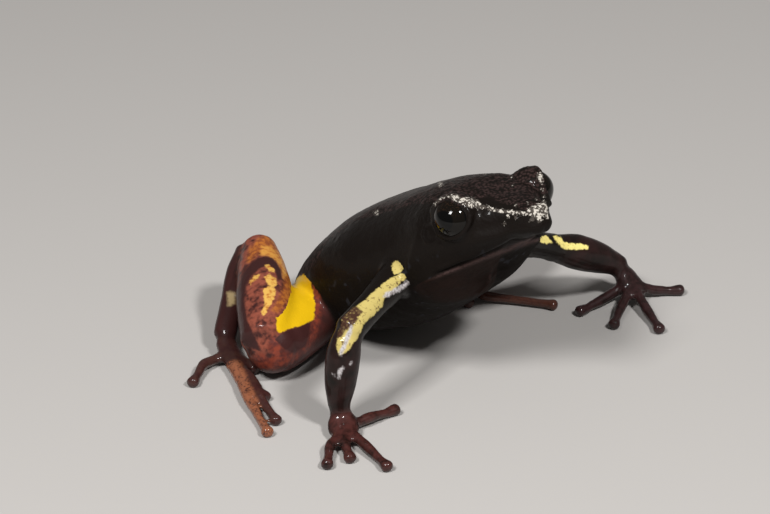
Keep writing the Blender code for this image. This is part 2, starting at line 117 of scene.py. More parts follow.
# %% Measures of the limbs
LIMBS = {
    "right_upper_arm": [(-1.9, 8.5, 7.3, 1.3, 1.3), (-3.6, 7.8, 6.95, 1.1, 1.1),
        (-6.0, 6.7, 6.5, 0.84, 0.86), (-7.6, 6.0, 6.15, 0.78, 0.82), (-8.6, 5.6, 5.85, 0.82, 0.84)],
    "right_forearm": [(-8.85, 5.55, 5.45, 0.8, 0.8), (-9.15, 5.55, 4.3, 0.93, 0.95),
        (-9.3, 5.6, 2.9, 0.86, 0.88), (-9.4, 5.62, 1.75, 0.66, 0.66), (-9.42, 5.6, 1.3, 0.56, 0.6)],
    "left_upper_arm": [(1.3, 9.0, 7.2, 1.5, 1.5), (2.9, 8.5, 6.8, 1.2, 1.3), (4.7, 8.6, 5.9, 0.92, 0.96),
        (6.3, 8.9, 5.05, 0.76, 0.76), (7.4, 9.1, 4.45, 0.8, 0.8)],
    "left_forearm": [(7.7, 9.15, 4.3, 0.8, 0.8), (9.1, 9.3, 3.6, 1.0, 1.0), (10.5, 9.3, 2.85, 0.92, 0.92),
        (11.5, 9.2, 2.25, 0.72, 0.72), (11.95, 9.05, 1.95, 0.6, 0.62)],
    "right_thigh": [(-0.9, 16.85, 2.0, 1.6, 1.2), (-3.6, 15.85, 1.68, 2.05, 1.46),
        (-6.3, 14.3, 1.76, 2.05, 1.66), (-8.5, 13.0, 1.85, 1.8, 1.65), (-9.3, 12.5, 2.0, 1.5, 1.55)],
    "right_shank": [(-9.7, 12.5, 2.45, 1.35, 1.35), (-8.9, 13.6, 2.85, 1.55, 1.5),
        (-7.85, 15.35, 3.35, 1.6, 1.5), (-6.65, 17.5, 3.8, 1.35, 1.2), (-5.85, 19.0, 4.15, 1.0, 1.0)],
    "right_tarsus": [(-6.1, 19.6, 3.8, 0.85, 0.85), (-7.3, 18.9, 3.1, 0.75, 0.78),
        (-8.4, 17.9, 2.15, 0.68, 0.72), (-9.35, 17.0, 1.4, 0.66, 0.66), (-9.75, 16.6, 1.1, 0.66, 0.6)],
    "left_thigh": [(0.2, 17.6, 2.3, 1.4, 1.3), (2.6, 17.1, 2.6, 2.15, 1.9), (5.2, 15.7, 2.85, 2.05, 1.85),
        (7.3, 14.4, 3.0, 1.75, 1.7), (8.1, 13.9, 3.1, 1.45, 1.5)],
    "left_shank": [(8.55, 14.3, 3.4, 1.3, 1.3), (8.0, 15.5, 3.35, 1.45, 1.45),
        (6.8, 17.4, 3.1, 1.45, 1.4), (5.2, 19.6, 2.7, 1.15, 1.1), (3.9, 21.1, 2.4, 0.95, 0.95)],
    "left_tarsus": [(4.3, 21.7, 2.0, 0.85, 0.85), (5.6, 21.1, 1.6, 0.75, 0.75),
        (6.8, 20.0, 1.25, 0.7, 0.7), (7.7, 18.8, 1.0, 0.66, 0.64), (7.95, 18.3, 0.95, 0.62, 0.6)],
    "right_hand": [(-9.42, 5.55, 1.1, 0.55, 0.5), (-9.5, 5.25, 0.75, 0.78, 0.5),
        (-9.75, 4.7, 0.5, 0.85, 0.42), (-9.95, 4.2, 0.42, 0.7, 0.36)],
    "left_hand": [(12.0, 8.9, 1.7, 0.55, 0.5), (12.15, 8.65, 1.35, 0.75, 0.5),
        (12.3, 8.2, 0.85, 0.82, 0.42), (12.25, 7.75, 0.6, 0.7, 0.38)],
    "right_foot": [(-9.95, 16.3, 0.85, 0.58, 0.55), (-10.1, 15.7, 0.6, 0.62, 0.45),
        (-10.3, 14.9, 0.48, 0.64, 0.38), (-10.6, 14.0, 0.42, 0.58, 0.34)],
    "left_foot": [(8.0, 17.9, 0.75, 0.58, 0.55), (7.8, 17.4, 0.58, 0.62, 0.45),
        (7.3, 16.6, 0.48, 0.64, 0.38), (6.8, 15.8, 0.42, 0.58, 0.34)],
}
DIGITS = {
    "right_hand": [[(-9.4, 4.95), (-7.9, 5.0), (-6.1, 5.15)], [(-9.6, 4.3), (-9.75, 2.6), (-9.9, 0.35)],
        [(-9.95, 4.2), (-10.6, 3.3), (-11.0, 2.25)], [(-10.1, 4.5), (-11.3, 3.7), (-12.35, 2.4)]],
    "left_hand": [[(11.9, 8.5), (10.3, 8.5), (8.75, 8.4)], [(11.9, 7.9), (10.7, 7.15), (9.35, 6.0)],
        [(12.2, 7.8), (11.7, 6.0), (11.1, 4.1)], [(12.6, 8.1), (13.5, 7.75), (14.9, 7.1)]],
    "right_foot": [[(-10.1, 15.2), (-9.95, 14.3), (-9.9, 13.4)], [(-10.4, 14.2), (-10.75, 12.4),
        (-11.05, 10.5)], [(-10.6, 14.0), (-11.3, 11.0), (-12.0, 7.95)], [(-10.8, 14.0), (-12.0, 10.8),
        (-13.05, 7.15)], [(-10.5, 15.6), (-12.0, 15.3), (-13.4, 14.2)]],
    "left_foot": [[(7.2, 16.9), (6.3, 16.2), (5.5, 15.6)], [(6.9, 16.0), (5.6, 14.9), (4.4, 14.1)],
        [(6.7, 15.7), (5.2, 14.1), (4.2, 12.9)], [(6.75, 15.6), (5.25, 13.1), (8.0, 9.9)], [(7.2, 16.4),
        (7.4, 15.6), (7.7, 14.9)]],
}
ROOT_HEIGHT = {"right_hand": 0.42, "left_hand": 0.85, "right_foot": 0.42, "left_foot": 0.42}
FINGER_RADIUS, TIP_RADIUS, TIP_HEIGHT, KNUCKLE_RISE = 0.27, 0.36, 0.3, 0.16
print("limb pieces:", len(LIMBS), "digits:", sum(len(d) for d in DIGITS.values()))

# %% [markdown]
# ## From tables to closed shells
#
# Each form is lofted: a smooth curve is drawn through the rows of its table, and a rounded ring is set
# up at every step of it. In Blender's window this would be a curve with a bevel and a taper.

# %% Smooth tables and closed shells


def turns(sides):
    """Angles of equal steps once round."""
    return np.linspace(0, 2 * np.pi, sides, endpoint=False)


def unit(rows):
    """Rows of three numbers made a unit long."""
    return rows / np.linalg.norm(rows, axis=-1, keepdims=True)


def eased(t):
    """0 below 0, 1 above 1 and the cubic 3 t^2 - 2 t^3 between."""
    t = np.clip(t, 0, 1)
    return t * t * (3 - 2 * t)


def smooth_rows(rows, steps):
    """Catmull-Rom curve through rows of numbers: between two rows a cubic that leaves and arrives
    along the line joining their neighbours."""
    rows = np.array(rows, float)
    padded = np.vstack([2 * rows[0] - rows[1], rows, 2 * rows[-1] - rows[-2]])
    t = (np.arange(steps) / steps)[None, :, None]
    a, b, c, d = (padded[k:len(rows) - 1 + k, None, :] for k in range(4))
    curve = 2 * b + (c - a) * t + (2 * a - 5 * b + 4 * c - d) * t * t + (3 * b - a - 3 * c + d) * t ** 3
    return np.vstack([0.5 * curve.reshape(-1, rows.shape[1]), rows[-1]])


def shell(rings):
    """Closed surface round equal rings: quads between rings and a fan at each end."""
    n, m = rings.shape[:2]
    i, j = (g.ravel() for g in np.meshgrid(np.arange(n - 1), np.arange(m), indexing="ij"))
    k = (j + 1) % m
    quads = np.stack([i * m + j, i * m + k, (i + 1) * m + k, (i + 1) * m + j], 1)
    j = np.arange(m)
    k = (j + 1) % m
    last = (n - 1) * m
    fans = np.concatenate([np.stack([k, j, np.full(m, n * m)], 1),
                           np.stack([last + j, last + k, np.full(m, n * m + 1)], 1)])
    points = np.vstack([rings.reshape(-1, 3), rings[0].mean(0), rings[-1].mean(0)])
    return points, quads.tolist() + fans.tolist()


print("rows of the trunk:", len(TRUNK), "smoothed:", len(smooth_rows(TRUNK, 9)))

# %% Rings of the trunk


def trunk_frame(s):
    """Centre and directions of the sections at distances s behind the snout: the head's directions
    turn smoothly into the body's between 5.0 and 10.2 mm."""
    share = eased((s - 5.0) / 5.2)[:, None, None]
    s = s[:, None]
    centre = np.where(s <= NECK, SNOUT - s * HEAD[0], head_point(NECK, 0, 0) - (s - NECK) * BODY[0])
    return centre, unit(HEAD * (1 - share) + BODY * share)


def trunk_rings(steps=9, sides=120):
    """Rings centre + w |cos|^(2/n) left + (mid + h |sin|^(2/n)) up, with its own h above and below. The
    lower part of the snout and jaw then moves back, more the lower it is: a mantella's snout overhangs."""
    s, wide, top, mid, bottom, power = smooth_rows(TRUNK, steps).T[:, :, None]
    centre, axes = trunk_frame(s[:, 0])
    c, d = np.cos(turns(sides))[None], np.sin(turns(sides))[None]
    bend = 2 / np.where(d > 0, power, np.minimum(power, BELLY_POWER))
    across = wide * np.sign(c) * np.abs(c) ** bend
    height = mid + np.where(d > 0, top - mid, mid - bottom) * np.sign(d) * np.abs(d) ** bend
    rings = centre[:, None] + across[..., None] * axes[:, None, 1] + height[..., None] * axes[:, None, 2]
    recess = CHIN_BACK * eased((CHIN_LEVEL - height) / CHIN_DEPTH)
    recess = recess * (1 - np.clip(s / CHIN_REACH, 0, 1) ** 2)
    return rings - recess[..., None] * HEAD[0]


print("trunk rings and sides:", trunk_rings().shape[:2])

# %% Rings of limbs, digits and balls


def limb_rings(rows, steps=10, sides=28, round_start=0.35, round_end=0.8):
    """Rings centre + a cos side + b sin up along a smooth path, with both ends rounded off as a
    quarter ellipse whose depth is a share of the last half width."""
    table = smooth_rows(rows, steps)
    along = unit(np.gradient(table[:, :3], axis=0))
    turn = np.radians((78, 62, 46, 30, 15))
    caps = []
    for end, depth in ((0, -round_start), (-1, round_end)):
        cap = np.repeat(table[end][None], len(turn), 0)
        cap[:, :3] += (depth * cap[:, 3:5].min(1) * np.sin(turn))[:, None] * along[end]
        cap[:, 3:5] *= np.cos(turn)[:, None]
        caps.append(cap)
    table = np.vstack([caps[0], table, caps[1][::-1]])
    along = np.pad(along, ((len(turn), len(turn)), (0, 0)), "edge")
    side = np.cross(along, (0.0, 0.0, 1.0))
    steep = np.linalg.norm(side, axis=1) < 0.35
    side[steep] = np.cross(along[steep], (0.0, 1.0, 0.0))
    side = unit(side)
    up = np.cross(side, along)
    angle = turns(sides)[None, :, None]
    a, b = table[:, 3, None, None], table[:, 4, None, None]
    return table[:, None, :3] + a * np.cos(angle) * side[:, None] + b * np.sin(angle) * up[:, None]


def digit_rows(name, points):
    """Root at the palm, a raised knuckle, a waist before the pad and the round pad at the tip."""
    root, bend, tip = (np.array(p) for p in points)
    waist, start, knuckle = tip - 0.62 * unit(tip - bend), ROOT_HEIGHT[name], TIP_HEIGHT + KNUCKLE_RISE
    return [(*root, start, 0.36, 0.34), (*((root + bend) / 2), (start + knuckle) / 2, 0.29, 0.29),
            (*bend, knuckle, 0.3, FINGER_RADIUS + 0.03), (*((bend + tip) / 2), TIP_HEIGHT + 0.06, 0.25, 0.25),
            (*waist, TIP_HEIGHT + 0.01, 0.25, 0.26), (*tip, TIP_HEIGHT, TIP_RADIUS, TIP_RADIUS - 0.03)]


def ball_rings(centre, radius, steps=24, sides=48):
    """Rings of a ball: radius times the cosine of the tilt wide, and its sine away from the middle."""
    tilt = np.linspace(-np.pi / 2, np.pi / 2, steps + 1)[1:-1, None, None]
    angle = turns(sides)[None, :, None]
    round_it = np.cos(angle) * HEAD[0] + np.sin(angle) * HEAD[2]
    return centre + radius * (np.cos(tilt) * round_it + np.sin(tilt) * HEAD[1])


print("rings of an arm:", len(limb_rings(LIMBS["right_upper_arm"])))

# %% All the shells
LID_THICK = 0.09
eyes = {side: head_point(EYE_BACK, side * EYE_SIDE, EYE_UP) for side in (-1, 1)}
shells = [shell(trunk_rings())] + [shell(ball_rings(e, EYE_RADIUS + LID_THICK)) for e in eyes.values()]
shells += [shell(limb_rings(rows)) for rows in LIMBS.values()]
shells += [shell(limb_rings(digit_rows(name, d), 8, 16, 0.5, 0.8)) for name in DIGITS for d in DIGITS[name]]
print("shells:", len(shells), "points:", sum(len(s[0]) for s in shells))

# %% [markdown]
# ## One skin
#
# The shells overlap like lumps of clay. A voxel remesh fuses them into one closed surface, which is how
# a sculptor joins masses. The head needs the finest detail, so all shells are first swollen about its
# middle, remeshed with even voxels, and then brought back to size.

# %% Swelling about the head
SWELL_CENTRE = head_point(3.6, 0, -0.4)
TRUE_REACH, SWOLLEN_REACH = [0.0, 4.9, 60.0], [0.0, 9.6, 64.7]


def swell(points, near, far):
    """Moves each point along its ray from the head's centre, from distances near to distances far."""
    ray = points - SWELL_CENTRE
    reach = np.linalg.norm(ray, axis=1)
    return SWELL_CENTRE + ray * (np.interp(reach, near, far) / np.maximum(reach, 1e-9))[:, None]


print("the head grows", np.round(SWOLLEN_REACH[1] / TRUE_REACH[1], 2), "times")

# %% Helpers for objects and meshes


def add_object(name, data):
    """New object in the scene."""
    obj = bpy.data.objects.new(name, data)
    bpy.context.scene.collection.objects.link(obj)
    return obj


def smooth_shaded(mesh):
    mesh.polygons.foreach_set("use_smooth", [True] * len(mesh.polygons))
    return mesh


def add_mesh(name, points, faces):
    """Object whose mesh has these points and faces, shaded smooth."""
    mesh = bpy.data.meshes.new(name)
    mesh.from_pydata(points.tolist(), [], faces)
    return add_object(name, smooth_shaded(mesh))


def through_modifier(points, faces, kind, **settings):
    """The mesh that one modifier makes of these points and faces."""
    rough = add_mesh("rough", points, faces)
    mod = rough.modifiers.new("rough", kind)
    for key, value in settings.items():
        setattr(mod, key, value)
    made = bpy.data.meshes.new_from_object(rough.evaluated_get(bpy.context.evaluated_depsgraph_get()))
    old = rough.data
    bpy.data.objects.remove(rough)
    bpy.data.meshes.remove(old)
    return made


def numbers(items, field, each=3, kind=float):
    """One field of a mesh's points or corners, as rows of numbers."""
    values = np.empty(len(items) * each, kind)
    items.foreach_get(field, values)
    return values.reshape(-1, each)


# %% Fuse the shells
VOXEL = 0.142


def largest_surface(points, quads):
    """Drops small closed bubbles left inside: every point takes the lowest number found along its
    edges until nothing changes, and the commonest number is the outer skin."""
    one, two = quads.ravel(), np.roll(quads, -1, 1).ravel()
    label, before = np.arange(len(points)), None
    while before is None or (label != before).any():
        before = label.copy()
        lowest = np.minimum(label[one], label[two])
        for place in (one, two, before[one], before[two]):
            np.minimum.at(label, place, lowest)
        label = label[label]
    kept = label == np.bincount(label).argmax()
    number = np.cumsum(kept) - 1
    return points[kept], number[quads[kept[quads[:, 0]]]]


def fuse(shells):
    """Points and quads of the one surface round all shells."""
    start = np.cumsum([0] + [len(s[0]) for s in shells]).tolist()
    points = swell(np.vstack([s[0] for s in shells]), TRUE_REACH, SWOLLEN_REACH)
    faces = [[v + first for v in f] for s, first in zip(shells, start) for f in s[1]]
    fused = through_modifier(points, faces, "REMESH", mode="VOXEL", voxel_size=VOXEL, adaptivity=0)
    points = swell(numbers(fused.vertices, "co"), SWOLLEN_REACH, TRUE_REACH)
    quads = numbers(fused.loops, "vertex_index", 1, int).reshape(-1, 4)
    bpy.data.meshes.remove(fused)
    return largest_surface(points, quads)


skin, quads = fuse(shells)
print("skin:", len(skin), "points,", 2 * len(quads), "triangles")

# %% [markdown]
# ## Relaxing the skin
#
# Fused lumps meet in sharp creases, and real skin bridges them. Each point moves towards the mean of its
# neighbours: a little everywhere to take off the voxel steps, and far more in the hollows, so that arm
# and thigh grow out of the body. A second pass pushes back, which keeps the volume.

# %% Neighbours and normals
pairs = np.unique(np.sort(np.vstack([quads[:, [k, (k + 1) % 4]] for k in range(4)]), 1), axis=0)
ONE, TWO, COUNT = pairs[:, 0], pairs[:, 1], len(skin)
DEGREE = np.bincount(ONE, minlength=COUNT) + np.bincount(TWO, minlength=COUNT)


def mean_of_neighbours(values):
    """Mean of each column over the points that share an edge."""
    total = [np.bincount(ONE, v[TWO], COUNT) + np.bincount(TWO, v[ONE], COUNT) for v in values.T]
    return np.stack(total, 1) / DEGREE[:, None]


def normals(points):
    """Sum of the crossed diagonals of the quads round a point, made a unit long."""
    a, b, c, d = (points[quads[:, k]] for k in range(4))
    total = [sum(np.bincount(quads[:, k], v, COUNT) for k in range(4)) for v in np.cross(c - a, d - b).T]
    return unit(np.stack(total, 1))


print("edges:", len(pairs), "neighbours of a point:", np.round(DEGREE.mean(), 2))

# %% Relax the skin


def relax(points, passes, amount=0.5, keep=0.52):
    """Laplacian step towards the neighbours, then a step back that keeps the volume."""
    for _ in range(passes):
        points = points + amount * (mean_of_neighbours(points) - points)
        points = points - keep * (mean_of_neighbours(points) - points)
    return points


def ramp(value, low, high):
    """0 below low, 1 above high and a smooth cubic between."""
    return eased((value - low) / (high - low))


def bell(distance, width):
    """1 at no distance, falling away like a bell."""
    return np.exp(-(distance / width) ** 2)


skin = relax(skin, 4)
length = np.linalg.norm(skin[ONE] - skin[TWO], axis=1)
spacing = (np.bincount(ONE, length, COUNT) + np.bincount(TWO, length, COUNT)) / DEGREE
depth = ((mean_of_neighbours(skin) - skin) * normals(skin)).sum(1) / spacing ** 2
soft = ramp(depth, 0.12, 0.6)[:, None]
for _ in range(9):
    soft = np.maximum(soft, 0.93 * mean_of_neighbours(soft))
for _ in range(4):
    soft = mean_of_neighbours(soft)
soft = np.clip(1.5 * soft, 0, 1)
for _ in range(26):
    skin = skin + 0.6 * soft * (mean_of_neighbours(skin) - skin)
skin = relax(skin, 3)
print("hollows eased on", int((soft > 0.5).sum()), "points; usual spacing", np.round(np.median(spacing), 3))

# %% [markdown]
# ## Lids, nostrils, lips and ears
#
# On a live mantella the eyeballs bulge out of the sides of a wedge-shaped head. Thin lids ring each ball,
# an edge called the canthus runs from the lid to the nostril, and the eardrum is a small disc behind the
# eye. All of it is moved out of, or into, the one skin: first the skin is laid over each eyeball like
# cloth on a ball, with a lens-shaped opening, and then ridges and pits are added.

# %% Noise for skin


def lattice(cells, seed):
    """A fixed number from 0 to 1 for every whole cell, from a shuffled table looked up three times."""
    table = np.random.default_rng(seed).permutation(256)
    x, y, z = (cells[..., k] & 255 for k in range(3))
    return table[(table[(table[x] + y) & 255] + z) & 255] / 255


def clouds(points, size, seed):
    """Smooth noise from -1 to 1: the eight corner numbers of a cell blended by a cubic in each direction."""
    spot = points / size
    cell = np.floor(spot).astype(int)
    f = eased(spot - cell)
    total = 0.0
    for corner in np.ndindex(2, 2, 2):
        total = total + np.abs(1 - np.array(corner) - f).prod(1) * lattice(cell + corner, seed)
    return 2 * total - 1


def grains(points, size, seed):
    """Rounded beads from 0 to 1: one seed point in each cell, and the height falls with the square of the
    distance to the nearest seed point."""
    spot = points / size
    cell = np.floor(spot).astype(int)
    near = np.full(len(points), 9.0)
    for step in np.ndindex(3, 3, 3):
        home = cell + step - 1
        seed_point = home + np.stack([lattice(home, seed + k) for k in range(3)], -1)
        near = np.minimum(near, ((spot - seed_point) ** 2).sum(-1))
    return np.clip(1 - near / 0.42, 0, 1)


print("clouds on three points:", np.round(clouds(skin[:3], 1.0, 5), 2))

# %% Lids over the eyeballs
LID_ROLL, LID_GROOVE, LID_SOFT, LID_REACH, SOCKET = 0.04, 0.05, 0.1, 2.3, 0.16
OPEN_TURN, OPEN_LONG, OPEN_TALL, OPEN_RISE = 18.0, 66.0, 54.0, 6.0


def head_measures(points):
    """Way back from the snout, way out from the middle plane and way up, with the side of each point."""
    off = points - SNOUT
    side = off @ HEAD[1]
    return -off @ HEAD[0], np.abs(side), off @ HEAD[2], np.where(side < 0, -1.0, 1.0)


def head_place(back, out, up, hand):
    """Points from their way back, way out and way up on one side of the head."""
    return SNOUT - back[:, None] * HEAD[0] + (hand * out)[:, None] * HEAD[1] + up[:, None] * HEAD[2]


def eye_ray(points):
    """Direction and distance of each point from the eyeball's middle on its own side."""
    back, out, up, hand = head_measures(points)
    ray = np.stack([EYE_BACK - back, out - EYE_SIDE, up - EYE_UP], 1)
    return unit(ray), np.linalg.norm(ray, axis=1), hand


def lid_edge(ray):
    """Distance in mm outside the opening: an ellipse in turn and lift round the ball, less its own size."""
    forward, outward, upward = ray.T
    c, s = np.cos(np.radians(OPEN_TURN)), np.sin(np.radians(OPEN_TURN))
    turn = np.arctan2(forward * c - outward * s, outward * c + forward * s)
    lift = np.arcsin(np.clip(upward, -1, 1)) - np.radians(OPEN_RISE)
    share = np.sqrt((turn / np.radians(OPEN_LONG)) ** 2 + (lift / np.radians(OPEN_TALL)) ** 2)
    return (share - 1) * EYE_RADIUS * np.radians(OPEN_TALL)


def lay_lids(points):
    """Pushes the skin out to the lid's height where it is below it, and in behind the ball in the opening."""
    ray, reach, hand = eye_ray(points)
    edge = lid_edge(ray)
    lid = EYE_RADIUS + LID_THICK + LID_ROLL * bell(edge - 0.08, 0.12) - LID_GROOVE * bell(edge - 0.34, 0.1)
    over = lid + LID_SOFT * np.logaddexp(0, (reach - lid) / LID_SOFT)
    shut = ramp(edge, -0.07, 0.05)
    wanted = np.where(reach < LID_REACH, shut * over + (1 - shut) * (EYE_RADIUS - SOCKET), reach)
    wanted = wanted + (reach - wanted) * ramp(reach, LID_REACH - 0.4, LID_REACH)
    forward, outward, upward = (ray * wanted[:, None]).T
    return head_place(EYE_BACK - forward, EYE_SIDE + outward, EYE_UP + upward, hand)


near_eye = eye_ray(skin)[1] < LID_REACH
skin = lay_lids(skin)
for _ in range(2):
    skin = skin + 0.5 * near_eye[:, None] * (mean_of_neighbours(skin) - skin)
print("points moved for the lids:", int(near_eye.sum()))

# %% Where ridges and folds run
CANTHUS = [(3.0, 2.2, 1.5), (2.2, 1.7, 1.12), (1.3, 1.22, 0.82), (0.6, 0.8, 0.55), (0.3, 0.45, 0.36)]
EAR_FOLD = [(5.1, 3.3, 1.4), (5.8, 3.75, 1.15), (6.35, 3.95, 0.3), (7.1, 4.0, -0.9), (8.0, 4.0, -1.9)]
JOWL = [(5.6, 3.5, -2.6), (6.3, 3.7, -2.3), (7.0, 3.8, -2.35)]
# the left arm reaches forward and pulls the throat into one fold; here the second number is the way left
THROAT_FOLD = [(2.2, -1.9, -1.25), (4.1, -0.8, -2.2), (5.8, 0.1, -3.0), (6.7, 0.15, -3.6), (7.2, -0.25, -4.0)]
THROAT_HOLLOW = [(1.35, -1.25, -1.2), (3.3, -0.4, -1.95), (5.5, 0.65, -2.8), (6.7, 1.0, -3.5),
                 (7.6, 1.25, -4.1)]


def to_segment(points, a, b):
    """Distance to the straight piece from a to b, and how far along it the nearest place is, 0 to 1."""
    share = np.clip(((points - a) @ (b - a)) / ((b - a) @ (b - a)), 0, 1)
    return np.linalg.norm(points - a - share[:, None] * (b - a), axis=1), share


def line_distance(points, line):
    """Distance to the nearest place on a broken line."""
    line = np.array(line, float)
    return np.min([to_segment(points, a, b)[0] for a, b in zip(line[:-1], line[1:])], axis=0)


print("from the ear's fold to the right eye:",
      np.round(line_distance(np.array([(EYE_BACK, EYE_SIDE, EYE_UP)]), EAR_FOLD)[0], 2), "mm")

# %% Ridges and pits of the head


def mouth_level(back):
    """Height of the mouth line at a way back from the snout. Under the tip, where the upper lip hangs,
    it is lower."""
    return MOUTH_FRONT - MOUTH_SLOPE * back - MOUTH_DROP * ramp(2.2 - back, 0, 2.2)


def head_relief(points):
    """Height to add along the normal: the canthus, the hollow cheek, the mouth line between two lips, the
    nostril in its rim, the eardrum in its ring, the fold over it, and the fold and hollow of the throat."""
    back, out, up, hand = head_measures(points)
    own, handed = np.stack([back, out, up], 1), np.stack([back, out * hand, up], 1)
    front, lip = ramp(back, 0.9, 2.2), up - mouth_level(back)
    tone = 0.10 * bell(line_distance(own, CANTHUS), 0.24)
    tone -= 0.13 * bell(np.hypot(back - 2.1, (up + 0.05) / 0.42), 1.0) * ramp(out, 0.8, 1.4)
    tone += ((0.04 * front * bell(lip - 0.18, 0.14) - (0.06 + 0.08 * front) * bell(lip, 0.06))
             * (1 - ramp(back, MOUTH_END - 0.7, MOUTH_END + 0.1)))
    tone += 0.05 * front * bell(lip + 0.15, 0.1) * ramp(7.2 - back, 0, 1.2)
    hole = np.linalg.norm(own - NOSTRIL, axis=1)
    tone += 0.06 * bell(hole - 0.24, 0.09) - 0.26 * bell(hole, 0.12)
    drum = np.hypot(back - EAR[0], up - EAR[2]) + 9 * (out < 2.5)
    tone += 0.035 * bell(drum - 0.55, 0.1) - 0.04 * ramp(0.53 - drum, 0, 0.12) + 0.03 * bell(drum, 0.2)
    tone += 0.10 * bell(line_distance(own, EAR_FOLD), 0.3) + 0.06 * bell(line_distance(own, JOWL), 0.3)
    tone += 0.14 * bell(np.linalg.norm(own - (2.9, 1.75, 1.2), axis=1), 0.55) * (hand > 0)
    tone += 0.24 * bell(np.linalg.norm(own - (0.3, 0.25, -0.88), axis=1), 0.42)
    tone += 0.12 * bell(line_distance(handed, THROAT_FOLD), 0.15)
    tone -= 0.2 * bell(line_distance(handed, THROAT_HOLLOW), 0.45)
    return tone * ramp(9.0 - back, 0, 1.5)


# the front of the lower jaw moves back under the upper lip, by a share that fades along the jaw
back, _, up, _ = head_measures(skin)
drawn = 0.12 * ramp(mouth_level(back) - up, -0.04, 0.12) * ramp(2.6 - back, 0, 2.4)
skin = skin - drawn[:, None] * HEAD[0]
relief = head_relief(skin)
skin = skin + relief[:, None] * normals(skin)
print("head relief from", np.round(relief.min(), 3), "to", np.round(relief.max(), 3), "mm")

# %% [markdown]
# ## Folds and grain of the skin
#
# A mantella's back is finely granular and its flanks are smooth and wet, with a few soft folds behind the
# arm. The grain is real relief, small beads of a seventh of a millimetre, because light catches on it. A
# bump in the material would do for a painting, but the shape is kept for other uses too.

# %% Measures along trunk and limbs


def trunk_measures(points):
    """Way behind the snout along the bent trunk, way to the left and way up from its line."""
    nape = head_point(NECK, 0, 0)
    s = -(points - nape) @ BODY[0] + NECK
    head_s = -(points - SNOUT) @ HEAD[0]
    s = np.where((s + head_s) / 2 < NECK, head_s, s)
    for _ in range(2):
        centre, axes = trunk_frame(s)
        s = s - ((points - centre) * axes[:, 0]).sum(1)
    centre, axes = trunk_frame(s)
    off = points - centre
    return s, (off * axes[:, 1]).sum(1), (off * axes[:, 2]).sum(1)


def outside_limb(points, rows):
    """Distance outside a limb, whose radius runs evenly from one row to the next."""
    table = smooth_rows(rows, 3)
    best = np.full(len(points), 99.0)
    for a, b in zip(table[:-1], table[1:]):
        reach, share = to_segment(points, a[:3], b[:3])
        best = np.minimum(best, reach - ((a[3] + a[4]) / 2 * (1 - share) + (b[3] + b[4]) / 2 * share))
    return best


def limb_gaps(points):
    """Distance outside every limb by its name, with the digits counted to their hand or foot."""
    gaps = {name: outside_limb(points, rows) for name, rows in LIMBS.items()}
    for name in DIGITS:
        own = [outside_limb(points, digit_rows(name, digit)) for digit in DIGITS[name]]
        gaps[name] = np.min([gaps[name], *own], axis=0)
    return gaps


behind, aside, above = trunk_measures(skin)
print("points lie up to", np.round(behind.max(), 1), "mm behind the snout")

# %% Grain and folds
on_trunk = ramp(np.min(list(limb_gaps(skin).values()), axis=0), 0.0, 0.5)
upper = ramp(above, -0.6, 0.9) * on_trunk
ray, reach, _ = eye_ray(skin)
eye_clear = np.where(reach < 1.7, ramp(lid_edge(ray), -0.1, 0.15), 1.0)
on_head = ramp(8.0 - behind, 0, 2.0)
relief = 0.012 * upper * grains(skin, 0.42, 3) + (0.004 + 0.014 * upper) * on_head * grains(skin, 0.22, 11)
relief += 0.035 * clouds(skin * (1.0, 1.0, 0.55), 1.3, 5) * on_trunk
relief += 0.012 * clouds(skin, 0.5, 7)
belly_fold = clouds(np.stack([behind * 1.6, aside * 0.45, above * 0.5], 1), 0.9, 9)
relief += 0.035 * belly_fold * ramp(-above, 0.2, 2.0) * on_trunk
skin = skin + (relief * eye_clear)[:, None] * normals(skin)
skin[:, 2] = np.maximum(skin[:, 2], 0)
print("grain on", int((upper > 0.5).sum()), "points of the back")

# %% [markdown]
# ## Thinning
#
# A skin this fine is heavy, and much of it is nearly flat. The Decimate modifier takes points away where
# it is flattest, so lids and fingertips keep theirs.

# %% Thin out the flat places
TRIANGLES = 198000
thin = through_modifier(skin, quads.tolist(), "DECIMATE", ratio=TRIANGLES / (2 * len(quads)),
                        use_collapse_triangulate=True)
thin.name = "frog_skin"
frog = add_object("frog_skin", smooth_shaded(thin))
final, final_normal = numbers(thin.vertices, "co"), numbers(thin.vertices, "normal")
thin.vertices.foreach_set("co", ((final + SHIFT) * MM).ravel())
thin.update()
print("skin piece:", len(final), "points,", len(thin.polygons), "triangles")

# %% [markdown]
# ## The camera
#
# The camera stands where the photographer's lens was: in front of the frog's right side, above it, with a
# long lens. Its place comes from landmarks such as the eyes, elbow, wrists and toe tips. It is made
# before the colours, because the marks on the skin were read off the picture.

# %% The camera and the picture plane
PICTURE_WIDTH, PICTURE_HEIGHT = 770, 514
SENSOR, LENS = 36.0, 190.417
CAMERA_PLACE = np.array((-113.206, -154.704, 108.631))
CAMERA_RIGHT = np.array((0.82714479, -0.56175124, -0.01634118))
CAMERA_UP = np.array((0.26914678, 0.37044144, 0.88900683))
CAMERA_BACK = np.cross(CAMERA_RIGHT, CAMERA_UP)


def stand(obj, right, up, back, place):
    """Turns an object to three directions and puts it at a place in mm."""
    rows = np.stack([right, up, back, place * MM], 1).tolist()
    obj.matrix_world = Matrix([*rows, [0, 0, 0, 1]])


camera = bpy.data.cameras.new("camera")
camera.sensor_width, camera.lens, camera.clip_start = SENSOR, LENS, 0.01
viewpoint = add_object("camera", camera)
stand(viewpoint, CAMERA_RIGHT, CAMERA_UP, CAMERA_BACK, CAMERA_PLACE + SHIFT)
bpy.context.scene.camera = viewpoint


